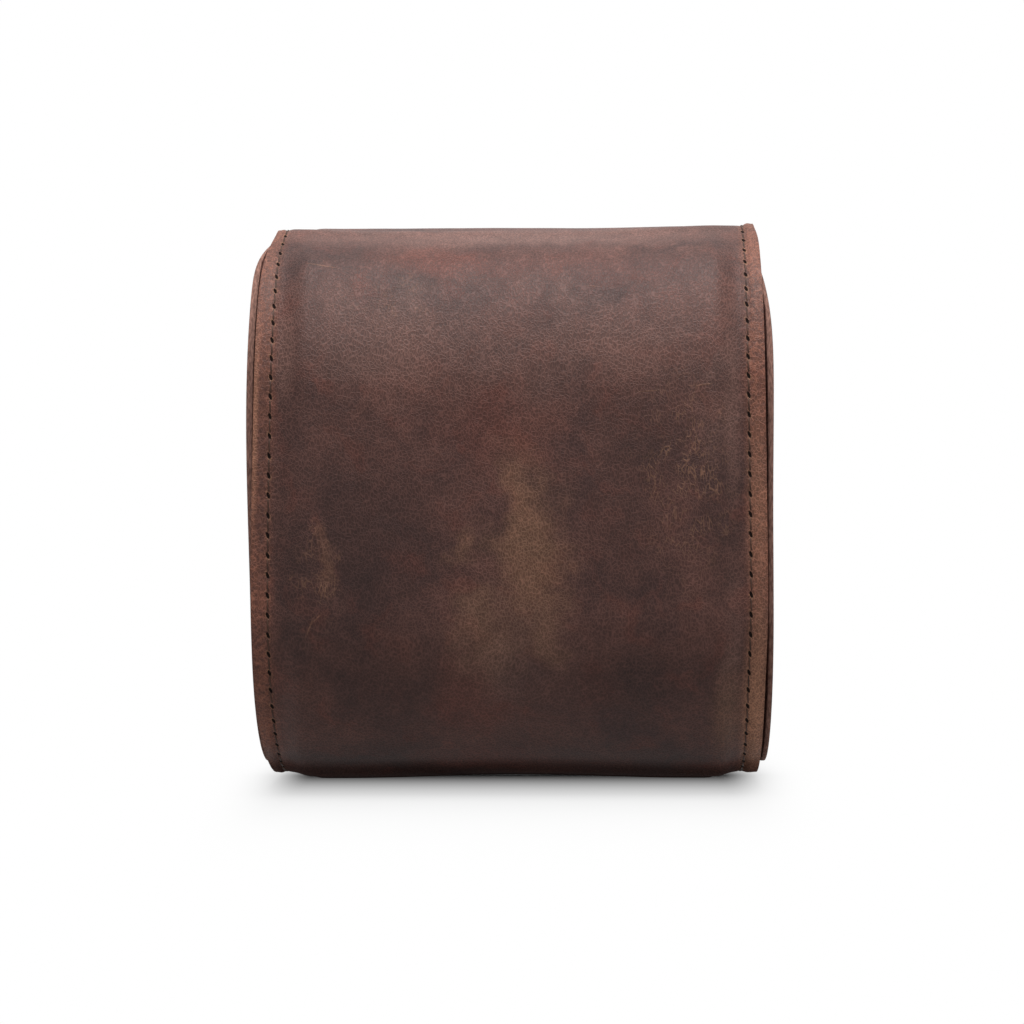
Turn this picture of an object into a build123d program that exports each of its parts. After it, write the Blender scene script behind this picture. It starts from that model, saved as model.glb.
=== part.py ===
from build123d import *
from math import asin, cos, degrees, radians, sin, sqrt
import os

# A single-watch travel case in leather. A stiff padded wrap runs over the back, under the
# bottom and up the front as the body, and over the top and down the front as the lid. Two
# flat end panels close its sides. X runs across the case, Y from its back to its front and
# Z up. The origin is the middle of the flat that the case stands on.

os.makedirs("parts", exist_ok=True)

# Wrap: its width, and its outline where the edges are sewn
wrap_width = 86.0
edge_depth = 72.0
edge_height = 98.6
low_corner_radius = 30.0
side_lean = 8.5
back_top_radius = 40.0
crease_angle = 65.0

# Layers of the wrap and how far its padding stands proud of the sewn edges
leather_thickness = 1.3
lining_thickness = 0.7
foam_thickness = 2.2
board_thickness = 1.5
pad_rise = 1.7
pad_slope_length = 4.0
sewn_margin = 4.5

# Where the wrap is divided and where it stays thin
lip_top = 48.0
seam_gap = 0.8
hinge_gap = 0.2
body_strip = 7.0
lid_strip = 11.0
hem = 4.0

# End panels
end_leather_thickness = 1.5
end_board_thickness = 2.2
end_lining_thickness = 0.7
end_clearance = 0.3

# Closing tab and its pair of hidden magnets
tab_width = 26.0
tab_tip = 24.0
tab_top = 66.0
tab_leather_thickness = 1.4
tab_lining_thickness = 1.0
tab_clearance = 0.3
tab_hinge_gap = 0.2
tab_tip_radius = 11.0
tab_top_radius = 4.0
magnet_height = 33.5
tab_magnet_radius = 5.0
tab_magnet_thickness = 1.2
lip_magnet_radius = 5.5
lip_magnet_thickness = 1.5
magnet_clearance = 0.1

# Watch pillow
pillow_length = 70.0
pillow_depth = 44.0
pillow_height = 52.0
pillow_side_flat = 1.0
pillow_level = 40.0
pillow_crown = 2.4
pillow_shoulder = 6.0
pillow_draw_in = 8.6
pillow_cover_thickness = 1.2
pillow_patch_thickness = 1.2
pillow_clearance = 0.3

# Reach of the cutting shapes past the case, and how near counts as touching
beyond = 200.0
touching = 0.01

# Levels of the layers, measured outwards from the sewn edge's outer face
skin_inside = -leather_thickness
edge_inside = skin_inside - lining_thickness
pad_skin_inside = pad_rise - leather_thickness
foam_inside = pad_skin_inside - foam_thickness
board_inside = foam_inside - board_thickness
pad_inside = board_inside - lining_thickness
end_outline = edge_inside - end_clearance
tab_inside = pad_rise + tab_clearance
tab_middle = tab_inside + tab_lining_thickness
tab_outside = tab_middle + tab_leather_thickness

# Widths, measured from the middle of the case
wrap_half = wrap_width / 2
board_half = wrap_half - sewn_margin
lining_half = board_half + lining_thickness
end_board_inside = wrap_half - end_board_thickness
end_lining_inside = end_board_inside - end_lining_thickness

# Centres of the outline's arcs
edge_base = pad_rise
edge_top = edge_height
half_depth = edge_depth / 2
flat_half = half_depth - low_corner_radius
corner_height = edge_base + low_corner_radius
lean_rise = sin(radians(side_lean))
side_end_height = edge_top - back_top_radius * (sin(radians(crease_angle)) - lean_rise)
side_radius = (side_end_height - corner_height) / lean_rise
side_centre = side_radius - half_depth
side_end_depth = half_depth - side_radius * (1 - cos(radians(side_lean)))
back_centre_depth = back_top_radius * cos(radians(side_lean)) - side_end_depth
back_centre_height = side_end_height - back_top_radius * lean_rise
front_top_radius = (edge_top - side_end_height) / (1 - lean_rise)
front_centre_depth = side_end_depth - front_top_radius * cos(radians(side_lean))
front_centre_height = edge_top - front_top_radius


def crease_tilt(level):
    """Angle from the vertical at which the back meets the top, on a layer's outline."""
    rise = edge_top + level - back_centre_height
    return degrees(asin(rise / (back_top_radius + level)))


def back_point(tilt, level):
    """Point of the back's upper arc, by its angle from the vertical and its layer."""
    radius = back_top_radius + level
    depth = back_centre_depth - radius * cos(radians(tilt))
    height = back_centre_height + radius * sin(radians(tilt))
    return (depth, height)


def front_point(height, level):
    """Point of the front's long shallow arc, by its height and its layer."""
    radius = side_radius + level
    depth = sqrt(radius**2 - (height - corner_height) ** 2) - side_centre
    return (depth, height)


def outline(level):
    """Closed outline of one layer of the case, seen along its width."""
    low = edge_base - level
    top = edge_top + level
    crease = crease_tilt(level)
    corner = low_corner_radius + level
    side = side_radius + level
    Line((-flat_half, low), (flat_half, low))
    CenterArc((flat_half, corner_height), corner, 270, 90)
    CenterArc((-side_centre, corner_height), side, 0, side_lean)
    CenterArc(
        (front_centre_depth, front_centre_height), front_top_radius + level, side_lean, 90 - side_lean
    )
    Line((front_centre_depth, top), back_point(crease, level))
    CenterArc(
        (back_centre_depth, back_centre_height),
        back_top_radius + level,
        180 - crease,
        crease - side_lean,
    )
    CenterArc((side_centre, corner_height), side, 180 - side_lean, side_lean)
    CenterArc((-flat_half, corner_height), corner, 180, 90)


crease_point = back_point(crease_tilt(0), 0)
hinge_inner = (0, lip_top)
hinge_slope = (crease_point[0] - hinge_inner[0]) / (crease_point[1] - hinge_inner[1])
lid_edge = lip_top + seam_gap
strip_tilt = crease_tilt(0) - degrees(body_strip / back_top_radius)
slope_tilt = degrees(pad_slope_length / back_top_radius)


def hinge_ray(height, gap):
    """Point of the plane that parts lid and body at the crease."""
    return (hinge_inner[0] + hinge_slope * (height - hinge_inner[1]) + gap, height)


def body_region():
    """Cutting outline round the back, the bottom and the front lip."""
    return [
        hinge_inner,
        hinge_ray(beyond, 0),
        (-beyond, beyond),
        (-beyond, -beyond),
        (beyond, -beyond),
        (beyond, lip_top),
    ]


def lid_region():
    """Cutting outline round the top and the front above the lip."""
    return [
        hinge_ray(lid_edge, hinge_gap),
        hinge_ray(beyond, hinge_gap),
        (beyond, beyond),
        (beyond, lid_edge),
    ]


def skive(low_end, high_end):
    """Straight cut through two points, run on as far again past each."""
    step = Vector(high_end) - Vector(low_end)
    return [Vector(low_end) - step, Vector(high_end) + step]


def body_pad_region(low, high):
    """Cutting outline round the body's padding, with skived ends between two layers."""
    lip = lip_top - hem
    at_hinge = skive(back_point(strip_tilt, low), back_point(strip_tilt - slope_tilt, high))
    at_lip = skive(front_point(lip, low), front_point(lip - pad_slope_length, high))
    return [
        (hinge_inner[0], lip),
        *at_hinge,
        back_point(strip_tilt - slope_tilt, beyond),
        (-beyond, -beyond),
        (beyond, -beyond),
        (beyond, lip - pad_slope_length),
        *reversed(at_lip),
    ]


def lid_pad_region(low, high):
    """Cutting outline round the lid's padding, with skived ends between two layers."""
    start = crease_point[0] + lid_strip
    lip = lid_edge + hem
    at_hinge = skive((start, edge_top + low), (start + pad_slope_length, edge_top + high))
    at_lip = skive(front_point(lip, low), front_point(lip + pad_slope_length, high))
    return [
        (start, lip),
        *at_hinge,
        (start + pad_slope_length, beyond),
        (beyond, beyond),
        (beyond, lip + pad_slope_length),
        *reversed(at_lip),
    ]


def body_core_region(grow):
    """Cutting outline round the body's board, with square ends."""
    tilt = strip_tilt + degrees(grow / back_top_radius)
    lip = lip_top - hem + grow
    return [
        (hinge_inner[0], lip),
        back_point(tilt, pad_inside),
        back_point(tilt, beyond),
        (-beyond, -beyond),
        (beyond, -beyond),
        (beyond, lip),
    ]


def lid_core_region(grow):
    """Cutting outline round the lid's board, with square ends."""
    start = crease_point[0] + lid_strip - grow
    lip = lid_edge + hem - grow
    return [(start, lip), (start, beyond), (beyond, beyond), (beyond, lip)]


def front_region(low, high):
    """Cutting outline between two heights on the front."""
    return [(0, low), (beyond, low), (beyond, high), (0, high)]


def band(outer, inner, region, place=0):
    """Sketch of the wrap between two layers, kept inside a cutting outline."""
    with BuildSketch(Plane.YZ.offset(place)) as profile:
        with BuildLine():
            outline(outer)
        make_face()
        with BuildLine():
            outline(inner)
        make_face(mode=Mode.SUBTRACT)
        with BuildLine():
            Polyline(*region, close=True)
        make_face(mode=Mode.INTERSECT)
    return profile.sketch


def wrap_layer(outer, inner, region, half_width, mode=Mode.ADD):
    """One layer of the wrap, as wide on each side of the middle."""
    extrude(band(outer, inner, region), amount=half_width, both=True, mode=mode)


def padded_form(low, high, base, region):
    """Block of padding whose two long sides slope from one layer up to another."""
    with BuildPart() as block:
        wrap_layer(high, base, region, board_half)
        for side in (-1, 1):
            side_face = block.faces().filter_by(Axis.X).sort_by(Axis.X)[0 if side < 0 else -1]
            with BuildLine(Plane.YZ.offset(side * board_half), mode=Mode.PRIVATE) as rim:
                outline(high)
            rim_wire = rim.wire()
            rim_edges = [edge for edge in side_face.edges() if rim_wire.distance_to(edge @ 0.5) < touching]
            chamfer(rim_edges, length=high - low, length2=pad_slope_length, reference=side_face)
    return block.part


# Padding forms, whole, before the magnet's pocket is cut
skive_foot = foam_inside
skin_foot = foam_inside + leather_thickness
body_pad = body_pad_region(skive_foot, pad_skin_inside)
lid_pad = lid_pad_region(skive_foot, pad_skin_inside)
body_padding = padded_form(skin_inside, pad_skin_inside, foam_inside, body_pad)
lid_padding = padded_form(skin_inside, pad_skin_inside, foam_inside, lid_pad)
body_swell = padded_form(0, pad_rise, skin_inside, body_pad_region(skin_foot, pad_rise))
lid_swell = padded_form(0, pad_rise, skin_inside, lid_pad_region(skin_foot, pad_rise))

# Outer leather of the body, from the crease round to the front lip
with BuildPart() as body_leather:
    wrap_layer(0, skin_inside, body_region(), wrap_half)
    add(body_swell)
    add(body_padding, mode=Mode.SUBTRACT)
body_leather.part.label = "body_leather"
export_step(body_leather.part, "parts/body_leather.step")

# Magnet sewn in behind the front lip, and the padding with its pocket
lip_magnet_place = Location((0, *front_point(magnet_height, (foam_inside + pad_skin_inside) / 2)), (90, 0, 0))

with BuildPart() as lip_magnet:
    with Locations(lip_magnet_place):
        Cylinder(lip_magnet_radius, lip_magnet_thickness)
lip_magnet.part.label = "lip_magnet"
export_step(lip_magnet.part, "parts/lip_magnet.step")

with BuildPart() as body_foam:
    add(body_padding)
    with Locations(lip_magnet_place):
        Cylinder(
            lip_magnet_radius + magnet_clearance,
            lip_magnet_thickness + 2 * magnet_clearance,
            mode=Mode.SUBTRACT,
        )
body_foam.part.label = "body_foam"
export_step(body_foam.part, "parts/body_foam.step")

# Stiffening board of the body, bent to the wrap's outline
with BuildPart() as body_board:
    wrap_layer(foam_inside, board_inside, body_core_region(0), board_half)
body_board.part.label = "body_board"
export_step(body_board.part, "parts/body_board.step")

# Lining of the body, sewn to the leather at its edges and drawn over the board
with BuildPart() as body_lining:
    wrap_layer(skin_inside, edge_inside, body_region(), wrap_half)
    wrap_layer(skin_inside, pad_inside, body_core_region(lining_thickness), lining_half)
    wrap_layer(skin_inside, board_inside, body_core_region(0), board_half, Mode.SUBTRACT)
body_lining.part.label = "body_lining"
export_step(body_lining.part, "parts/body_lining.step")

# The lid's four layers, from the crease over the top to its edge on the front
with BuildPart() as lid_leather:
    wrap_layer(0, skin_inside, lid_region(), wrap_half)
    add(lid_swell)
    add(lid_padding, mode=Mode.SUBTRACT)
lid_leather.part.label = "lid_leather"
export_step(lid_leather.part, "parts/lid_leather.step")

with BuildPart() as lid_foam:
    add(lid_padding)
lid_foam.part.label = "lid_foam"
export_step(lid_foam.part, "parts/lid_foam.step")

with BuildPart() as lid_board:
    wrap_layer(foam_inside, board_inside, lid_core_region(0), board_half)
lid_board.part.label = "lid_board"
export_step(lid_board.part, "parts/lid_board.step")

with BuildPart() as lid_lining:
    wrap_layer(skin_inside, edge_inside, lid_region(), wrap_half)
    wrap_layer(skin_inside, pad_inside, lid_core_region(lining_thickness), lining_half)
    wrap_layer(skin_inside, board_inside, lid_core_region(0), board_half, Mode.SUBTRACT)
lid_lining.part.label = "lid_lining"
export_step(lid_lining.part, "parts/lid_lining.step")


def end_panel(side, inside, thickness):
    """Flat panel with the end's outline, built outwards from its inner face."""
    with BuildSketch(Plane.YZ.offset(side * inside)) as panel:
        with BuildLine():
            outline(end_outline)
        make_face()
    extrude(panel.sketch, amount=side * thickness)


# End panels: a board with leather outside and lining inside, one pair on each side
for side, hand in ((-1, "left"), (1, "right")):
    with BuildPart() as end_leather:
        end_panel(side, wrap_half, end_leather_thickness)
    end_leather.part.label = hand + "_end_leather"
    export_step(end_leather.part, "parts/" + hand + "_end_leather.step")

    with BuildPart() as end_board:
        end_panel(side, end_board_inside, end_board_thickness)
    end_board.part.label = hand + "_end_board"
    export_step(end_board.part, "parts/" + hand + "_end_board.step")

    with BuildPart() as end_lining:
        end_panel(side, end_lining_inside, end_lining_thickness)
    end_lining.part.label = hand + "_end_lining"
    export_step(end_lining.part, "parts/" + hand + "_end_lining.step")

# Closing tab: its root is sewn to the lid and its tongue hangs over the front lip
tab_hinge_height = lip_top + seam_gap / 2
tab_half = tab_width / 2
tab_magnet_place = Location((0, *front_point(magnet_height, tab_middle)), (90, 0, 0))


def tongue_layer(outer, inner):
    """One layer of the tongue, with its rounded tip and the pocket for its magnet."""
    with BuildPart() as layer:
        wrap_layer(outer, inner, front_region(tab_tip, tab_hinge_height), tab_half)
        fillet(layer.edges().filter_by(Axis.Y).group_by(Axis.Z)[0], tab_tip_radius)
        with Locations(tab_magnet_place):
            Cylinder(
                tab_magnet_radius + magnet_clearance,
                tab_magnet_thickness + 2 * magnet_clearance,
                mode=Mode.SUBTRACT,
            )
    return layer.part


with BuildPart() as tab_leather:
    add(tongue_layer(tab_outside, tab_middle))
tab_leather.part.label = "tab_leather"
export_step(tab_leather.part, "parts/tab_leather.step")

with BuildPart() as tab_lining:
    add(tongue_layer(tab_middle, tab_inside))
tab_lining.part.label = "tab_lining"
export_step(tab_lining.part, "parts/tab_lining.step")

with BuildPart() as tab_magnet:
    with Locations(tab_magnet_place):
        Cylinder(tab_magnet_radius, tab_magnet_thickness)
tab_magnet.part.label = "tab_magnet"
export_step(tab_magnet.part, "parts/tab_magnet.step")

with BuildPart() as tab_root:
    wrap_layer(tab_outside, pad_rise, front_region(tab_hinge_height + tab_hinge_gap, tab_top), tab_half)
    fillet(tab_root.edges().filter_by(Axis.Y).group_by(Axis.Z)[-1], tab_top_radius)
tab_root.part.label = "tab_root"
export_step(tab_root.part, "parts/tab_root.step")

# Watch pillow: an oval cushion, crowned in the middle and drawn in at its ends
pillow_floor = edge_base - pad_inside + pillow_clearance
pillow_middle = pillow_floor + pillow_height / 2
pillow_corner_radius = min(pillow_depth, pillow_height) / 2 - pillow_side_flat
core_half = pillow_length / 2 - pillow_patch_thickness
pillow_end_narrowing = (pillow_crown + pillow_draw_in) / 2


def pillow_section(place, narrowing):
    """Rounded section across the pillow, smaller all round by a narrowing."""
    plane = Plane(origin=(place, 0, pillow_middle), x_dir=(0, 1, 0), z_dir=(1, 0, 0))
    with BuildSketch(plane) as section:
        RectangleRounded(
            pillow_depth - 2 * narrowing,
            pillow_height - 2 * narrowing,
            pillow_corner_radius - narrowing,
        )
    return section.sketch.face()


def pillow_form(narrowing, draws):
    """Straight form of the pillow, narrowed all round, then drawn in towards its ends."""
    with BuildPart() as form:
        extrude(pillow_section(0, narrowing), amount=core_half, both=True)
        for side in (-1, 1):
            for inward, reach in draws:
                end_face = form.faces().sort_by(Axis.X)[0 if side < 0 else -1]
                chamfer(end_face.edges(), length=inward, length2=reach, reference=end_face)
    return form.part


# The foam core is straight between its shoulders, and the cover's wadding gives the crown
crown_draw = (pillow_crown / 2, core_half - pillow_level / 2)
shoulder_draw = (pillow_draw_in / 2, pillow_shoulder)

with BuildPart() as pillow_core:
    add(pillow_form(pillow_cover_thickness + pillow_crown / 2, [shoulder_draw]))
pillow_core.part.label = "pillow_core"
export_step(pillow_core.part, "parts/pillow_core.step")

with BuildPart() as pillow_cover:
    add(pillow_form(0, [crown_draw, shoulder_draw]))
    add(pillow_core.part, mode=Mode.SUBTRACT)
pillow_cover.part.label = "pillow_cover"
export_step(pillow_cover.part, "parts/pillow_cover.step")

# Suede patches that close the pillow's ends
for side, hand in ((-1, "left"), (1, "right")):
    with BuildPart() as pillow_patch:
        patch_face = pillow_section(side * core_half, pillow_end_narrowing)
        extrude(patch_face, amount=pillow_patch_thickness, dir=(side, 0, 0))
    pillow_patch.part.label = "pillow_" + hand + "_patch"
    export_step(pillow_patch.part, "parts/pillow_" + hand + "_patch.step")

print("lid hinge at", [round(value, 4) for value in crease_point])
print("tab hinge at", [round(value, 4) for value in front_point(tab_hinge_height, tab_outside)])
print("pillow middle at", round(pillow_middle, 4), "floor", round(pillow_floor, 4))
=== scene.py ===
import math
from functools import partial

import bpy
from bpy.props import FloatProperty, FloatVectorProperty, PointerProperty
from mathutils import Matrix, Vector, noise


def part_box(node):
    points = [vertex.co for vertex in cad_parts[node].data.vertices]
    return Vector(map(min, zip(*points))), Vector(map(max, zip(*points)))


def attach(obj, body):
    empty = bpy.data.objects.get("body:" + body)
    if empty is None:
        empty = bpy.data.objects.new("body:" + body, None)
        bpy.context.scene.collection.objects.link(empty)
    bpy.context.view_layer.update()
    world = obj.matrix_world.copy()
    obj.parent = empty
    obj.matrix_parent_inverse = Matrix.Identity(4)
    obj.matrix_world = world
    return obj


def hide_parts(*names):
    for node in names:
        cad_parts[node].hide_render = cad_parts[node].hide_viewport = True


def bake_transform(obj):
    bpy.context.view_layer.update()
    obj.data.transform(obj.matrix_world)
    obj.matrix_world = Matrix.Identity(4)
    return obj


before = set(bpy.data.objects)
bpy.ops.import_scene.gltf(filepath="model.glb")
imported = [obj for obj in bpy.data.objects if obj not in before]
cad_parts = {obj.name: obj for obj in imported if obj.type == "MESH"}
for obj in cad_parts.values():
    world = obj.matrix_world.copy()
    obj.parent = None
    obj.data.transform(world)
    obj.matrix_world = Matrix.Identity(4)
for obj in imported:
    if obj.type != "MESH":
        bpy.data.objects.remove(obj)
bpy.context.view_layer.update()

bl_info = {
    "name": "Leather watch case",
    "version": (1, 0, 0),
    "blender": (4, 5, 0),
    "location": "3D View > Sidebar > Watch case",
    "description": "Models and dresses a padded leather watch case with a flap lid and a pillow",
    "category": "Object",
}

MM = 0.001

# Places that the frame gives: the wrap's reach, the end panels' outer faces and the lid's lower edge
wrap_low, wrap_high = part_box("body_leather")
WRAP_HALF = wrap_high.x
PANEL_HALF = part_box("right_end_leather")[1].x
LID_EDGE_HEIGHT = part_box("lid_leather")[0].z

# Places shared with the CAD: the front lip, the lid's hinge, the tab's bend and the magnets
LIP_HEIGHT = 48 * MM
CREASE = Vector((0, -10.6272 * MM, 98.6 * MM))
MAGNET_HEIGHT = 33.5 * MM

# How far in front of the bottom's middle the wrap's two pieces meet, and half the width of each bend
BOTTOM_SEAM = 4 * MM

# Stitches: the share of a pitch that one shows, half the stretch of seam that gives its direction, and how
# far in front of the crease the lid's side seams come out through the lining
STITCH_SHOWN = 0.84
STITCH_REACH = 0.4 * MM
INNER_SEAM_START = 11 * MM

# The turn that lays a cylinder or a circle across the case, its axis along X
SIDEWAYS = (0, math.pi / 2, 0)

# Width, in millimetres of run, over which leather and lining sag at the crease
CREASE_WIDTH = 11

# End panels: thickness of their leather, how thick its back is that is hidden and set in from the rim, how
# far it is set in, how far board and suede are set in behind it, and the middle of the panels' height
PANEL_LEATHER = 1.35 * MM
PANEL_BACK = 0.5 * MM
PANEL_STEP = 1.1 * MM
BOARD_INSET = 0.3 * MM
SUEDE_INSET = 0.4 * MM
MIDDLE_HEIGHT = 50 * MM

# The lining's thickness, its depth inside the sewn edge and how much further in it lies over a board
LINING = 0.6 * MM
LINING_DEPTH = 2 * MM
BOARD_RISE = 2 * MM


def size(name, description, millimetres, **extra):
    """A length property, in metres, from a size in millimetres."""
    return FloatProperty(
        name=name, description=description, default=millimetres * MM, unit="LENGTH", precision=5, **extra
    )


def tilt(name, description, degrees):
    """An angle property from degrees."""
    return FloatProperty(name=name, description=description, default=math.radians(degrees), subtype="ANGLE")


def shade(name, description, text):
    """A colour property from an sRGB hex value."""
    return FloatVectorProperty(
        name=name, description=description, default=linear(text), size=3, subtype="COLOR", min=0, max=1
    )


def linear(text):
    """Linear colour from an sRGB hex value such as #4A3B35."""
    parts = [int(text[place : place + 2], 16) / 255 for place in (1, 3, 5)]
    return [part / 12.92 if part <= 0.04045 else ((part + 0.055) / 1.055) ** 2.4 for part in parts]


def smooth(value):
    """Smooth step from 0 to 1."""
    value = min(1, max(0, value))
    return value * value * (3 - 2 * value)


def bell(distance, width):
    """1 at no distance, falling off to both sides over a width in millimetres."""
    return math.exp(-((distance / (width * MM)) ** 2))


class CaseSizes(bpy.types.PropertyGroup):
    """Sizes of the padded wrap, its seams and its end panels"""

    pad_rise: size("Pad rise", "How far the padding stands above the sewn edges", 1.7)
    pad_slope: size("Pad slope", "Width of the slope round the padding", 4.8)
    leather: size("Leather", "Thickness of the outer leather", 1.3)
    low_radius: size("Bottom corner", "Radius of the two bottom corners", 30)
    top_radius: size("Back's upper arc", "Radius of the back's upper arc", 40)
    lean: tilt("Lean", "Lean of back and front", 8.5)
    crease: tilt("Crease", "Slope of the back at the crease", 65)
    seam_inset: size("Seam inset", "Distance of the seams from the wrap's edges", 2.8)
    stitch_pitch: size("Stitch pitch", "Distance from one needle hole to the next", 3.35)
    thread: size("Thread", "Thickness of the sewing thread", 0.32)
    rim_radius: size("Rim radius", "Rounding of the leather's cut edges", 0.3)


class TabSizes(bpy.types.PropertyGroup):
    """Sizes of the closing tab"""

    width: size("Tab width", "Width of the closing tab", 26)
    tip: size("Tab tip", "Height of the tab's rounded tip", 24)
    top: size("Tab top", "Height of the tab's sewn end", 66)
    tip_radius: size("Tip radius", "Rounding of the tab's tip", 11)
    top_radius: size("Top radius", "Rounding of the tab's sewn end", 4)
    thickness: size("Tab thickness", "Leather and lining of the tab together", 2.4)
    level: size("Tab level", "Height of the tab's outer face above the sewn edges", 4.4)
    seam_inset: size("Tab seam inset", "Distance of the tab's seam from its edge", 2.2)


class PillowSizes(bpy.types.PropertyGroup):
    """Sizes of the watch pillow"""

    slack: size("Slack", "How much smaller the cushion starts before it is blown up", 1.2)
    voxel: size("Voxel", "Mesh size for the cushion's simulation", 4)
    swell: size("Swell", "Most that the cushion may swell outwards", 1.6)
    pressure: FloatProperty(
        name="Pressure", description="Pressure that fills the cushion", default=4, min=0
    )
    patch_thickness: size("Patch thickness", "Thickness of the patches on the pillow's ends", 1.2)


class LeatherColours(bpy.types.PropertyGroup):
    """Colours of the leather, the thread, the suede and the magnets"""

    brown: shade("Brown", "Main colour of the waxed leather", "#62433C")
    dark: shade("Dark", "Colour of its darker clouds", "#44302D")
    # Deep is also painted shade, in bands across the lower back and the bottom corner
    deep: shade("Deep", "Colour where wax has gathered", "#2E2120")
    russet: shade("Russet", "Colour of its redder clouds", "#6E3F35")
    # Pale is also painted sheen and painted highlight, in bands across the back's upper arc and along the
    # crease
    pale: shade("Pale", "Colour where it is stretched", "#785A52")
    tan: shade("Tan", "Colour where handling has lightened it", "#8A6650")
    margin: shade("Margin", "Colour of the leather outside the seams", "#865848")
    worn: shade("Worn", "Colour of the right margin where it is most worn", "#A97B62")
    # The needle hole's colour is painted shade, standing in for the dark inside each pit
    hole: shade("Needle hole", "Colour inside a needle hole", "#140B08")
    thread: shade("Thread", "Colour of the sewing thread", "#4E372D")
    rim: shade("Cut edge", "Colour of the end panels' raw edge", "#967064")
    paint: shade("Edge paint", "Colour of the wrap's painted edge", "#1E1412")
    suede: shade("Suede", "Colour of the lining's and the pillow's suede", "#A88B73")
    nickel: shade("Nickel", "Colour of the magnets' plating", "#B9B4A9")


class StageSettings(bpy.types.PropertyGroup):
    """Camera, light and floor"""

    distance: size("Camera distance", "Distance of the camera from the case's middle", 504)
    height: size("Camera height", "Height of the camera above the floor", 48)
    yaw: tilt("Camera yaw", "Turn of the camera round the case", 1.44)
    roll: tilt("Camera roll", "Roll of the camera", -0.16)
    lens: FloatProperty(name="Lens", description="Focal length in millimetres", default=98.7, min=1)
    key_power: FloatProperty(
        name="Key light", description="Power of the overhead light", default=19, unit="POWER"
    )
    key_place: size("Key light's place", "How far in front of the case the overhead light hangs", 260)
    front_power: FloatProperty(
        name="Front light", description="Power of the light above the camera", default=0.6, unit="POWER"
    )
    world_strength: FloatProperty(
        name="World", description="Strength of the light from all round", default=0.11
    )
    floor_bounce: FloatProperty(
        name="Floor bounce", description="Paleness of the floor as the case sees it", default=0.3
    )


def outline_steps(sizes):
    """Stretches of the sewn edge's outline as (length, turn): from the crease back and down, and forwards."""
    half_depth = -wrap_low.y - sizes.pad_rise
    low = sizes.low_radius
    lean_rise = math.sin(sizes.lean)
    side_end = CREASE.z - sizes.top_radius * (math.sin(sizes.crease) - lean_rise)
    corner_height = sizes.pad_rise + low
    side_radius = (side_end - corner_height) / lean_rise
    front_radius = (CREASE.z - side_end) / (1 - lean_rise)
    front_top = half_depth - side_radius * (1 - math.cos(sizes.lean)) - front_radius * math.cos(sizes.lean)
    lip_angle = math.asin((LIP_HEIGHT - corner_height) / side_radius)
    lid_angle = math.asin((LID_EDGE_HEIGHT - corner_height) / side_radius)
    upper = sizes.crease - sizes.lean
    down = [
        (sizes.top_radius * upper, upper),
        (side_radius * sizes.lean, sizes.lean),
        (low * math.pi / 2, math.pi / 2),
        (2 * (half_depth - low), 0),
        (low * math.pi / 2, math.pi / 2),
        (side_radius * lip_angle, lip_angle),
    ]
    forwards = [
        (front_top - CREASE.y, 0),
        (front_radius * (math.pi / 2 - sizes.lean), sizes.lean - math.pi / 2),
        (side_radius * (sizes.lean - lid_angle), lid_angle - sizes.lean),
    ]
    return down, forwards


def travel(steps, heading, distance):
    """Place (Y, Z) and heading at a distance along stretches that start at the crease."""
    y, z = CREASE.y, CREASE.z
    for length, turn in steps:
        part = min(distance, length) if (length, turn) != steps[-1] else distance
        angle = turn * part / length
        if turn:
            radius = length / turn
            y += radius * (math.sin(heading + angle) - math.sin(heading))
            z += radius * (math.cos(heading) - math.cos(heading + angle))
        else:
            y += part * math.cos(heading)
            z += part * math.sin(heading)
        heading += angle
        distance -= part
        if distance <= 0:
            break
    return y, z, heading


class Outline:
    """The wrap's outline. A run is measured from the crease: down the back it is positive."""

    def __init__(self, sizes):
        """Works out the stretches, their lengths and the heading in which the back leaves the crease."""
        self.down, self.forwards = outline_steps(sizes)
        self.start = math.radians(270) - sizes.crease
        self.body_length = sum(length for length, turn in self.down)
        self.lid_length = sum(length for length, turn in self.forwards)

    def sharp(self, run):
        """Place (Y, Z) and outward direction (Y, Z) at a run."""
        if run >= 0:
            y, z, heading = travel(self.down, self.start, run)
            return y, z, math.sin(heading), -math.cos(heading)
        y, z, heading = travel(self.forwards, 0, -run)
        return y, z, -math.sin(heading), math.cos(heading)

    def at(self, run):
        """Place and outward direction, with the crease rounded over."""
        reach = 1.6 * MM * smooth(1.6 - abs(run) / (4 * MM))
        near = [self.sharp(run + step * reach) for step in (-1, 0, 0, 1)]
        y, z, out_y, out_z = [sum(values) / 4 for values in zip(*near)]
        scale = math.hypot(out_y, out_z)
        return Vector((0, y, z)), Vector((0, out_y / scale, out_z / scale))


def seam_wander(side, height, run):
    """How far a sewn edge strays outwards from straight, by its height, and near the crease by its run."""
    share = height / CREASE.z
    if side < 0:
        belly = 0.35 * math.exp(-(((share - 0.35) / 0.28) ** 2))
        return MM * (belly - 0.1 - 0.5 * bell(run, 8))
    low = 0.42 * smooth((0.36 - share) / 0.2)
    return MM * (0.12 * math.sin(5.2 * share + 0.6) + 0.12 * bell(run, 20) - low)


def corner_draw(side, run):
    """How far the outermost leather is drawn in at the crease, where both margins curl, and lower left."""
    if side < 0:
        return MM * (bell(run - 124 * MM, 22) + 1.15 * bell(run, 11.5))
    return MM * (0.6 * bell(run, 4.5) + 0.25 * bell(run, 16))


def pad_fullness(run, outline):
    """How full the padding is at a run: none at the crease, the lip and the lid's edge."""
    slope = 5 * MM
    if run >= 0:
        return smooth((run - 2 * MM) / (14 * MM)) * smooth((outline.body_length - 4 * MM - run) / slope)
    return smooth((-run - 5 * MM) / (13 * MM)) * smooth((outline.lid_length - 4 * MM + run) / slope)


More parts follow.
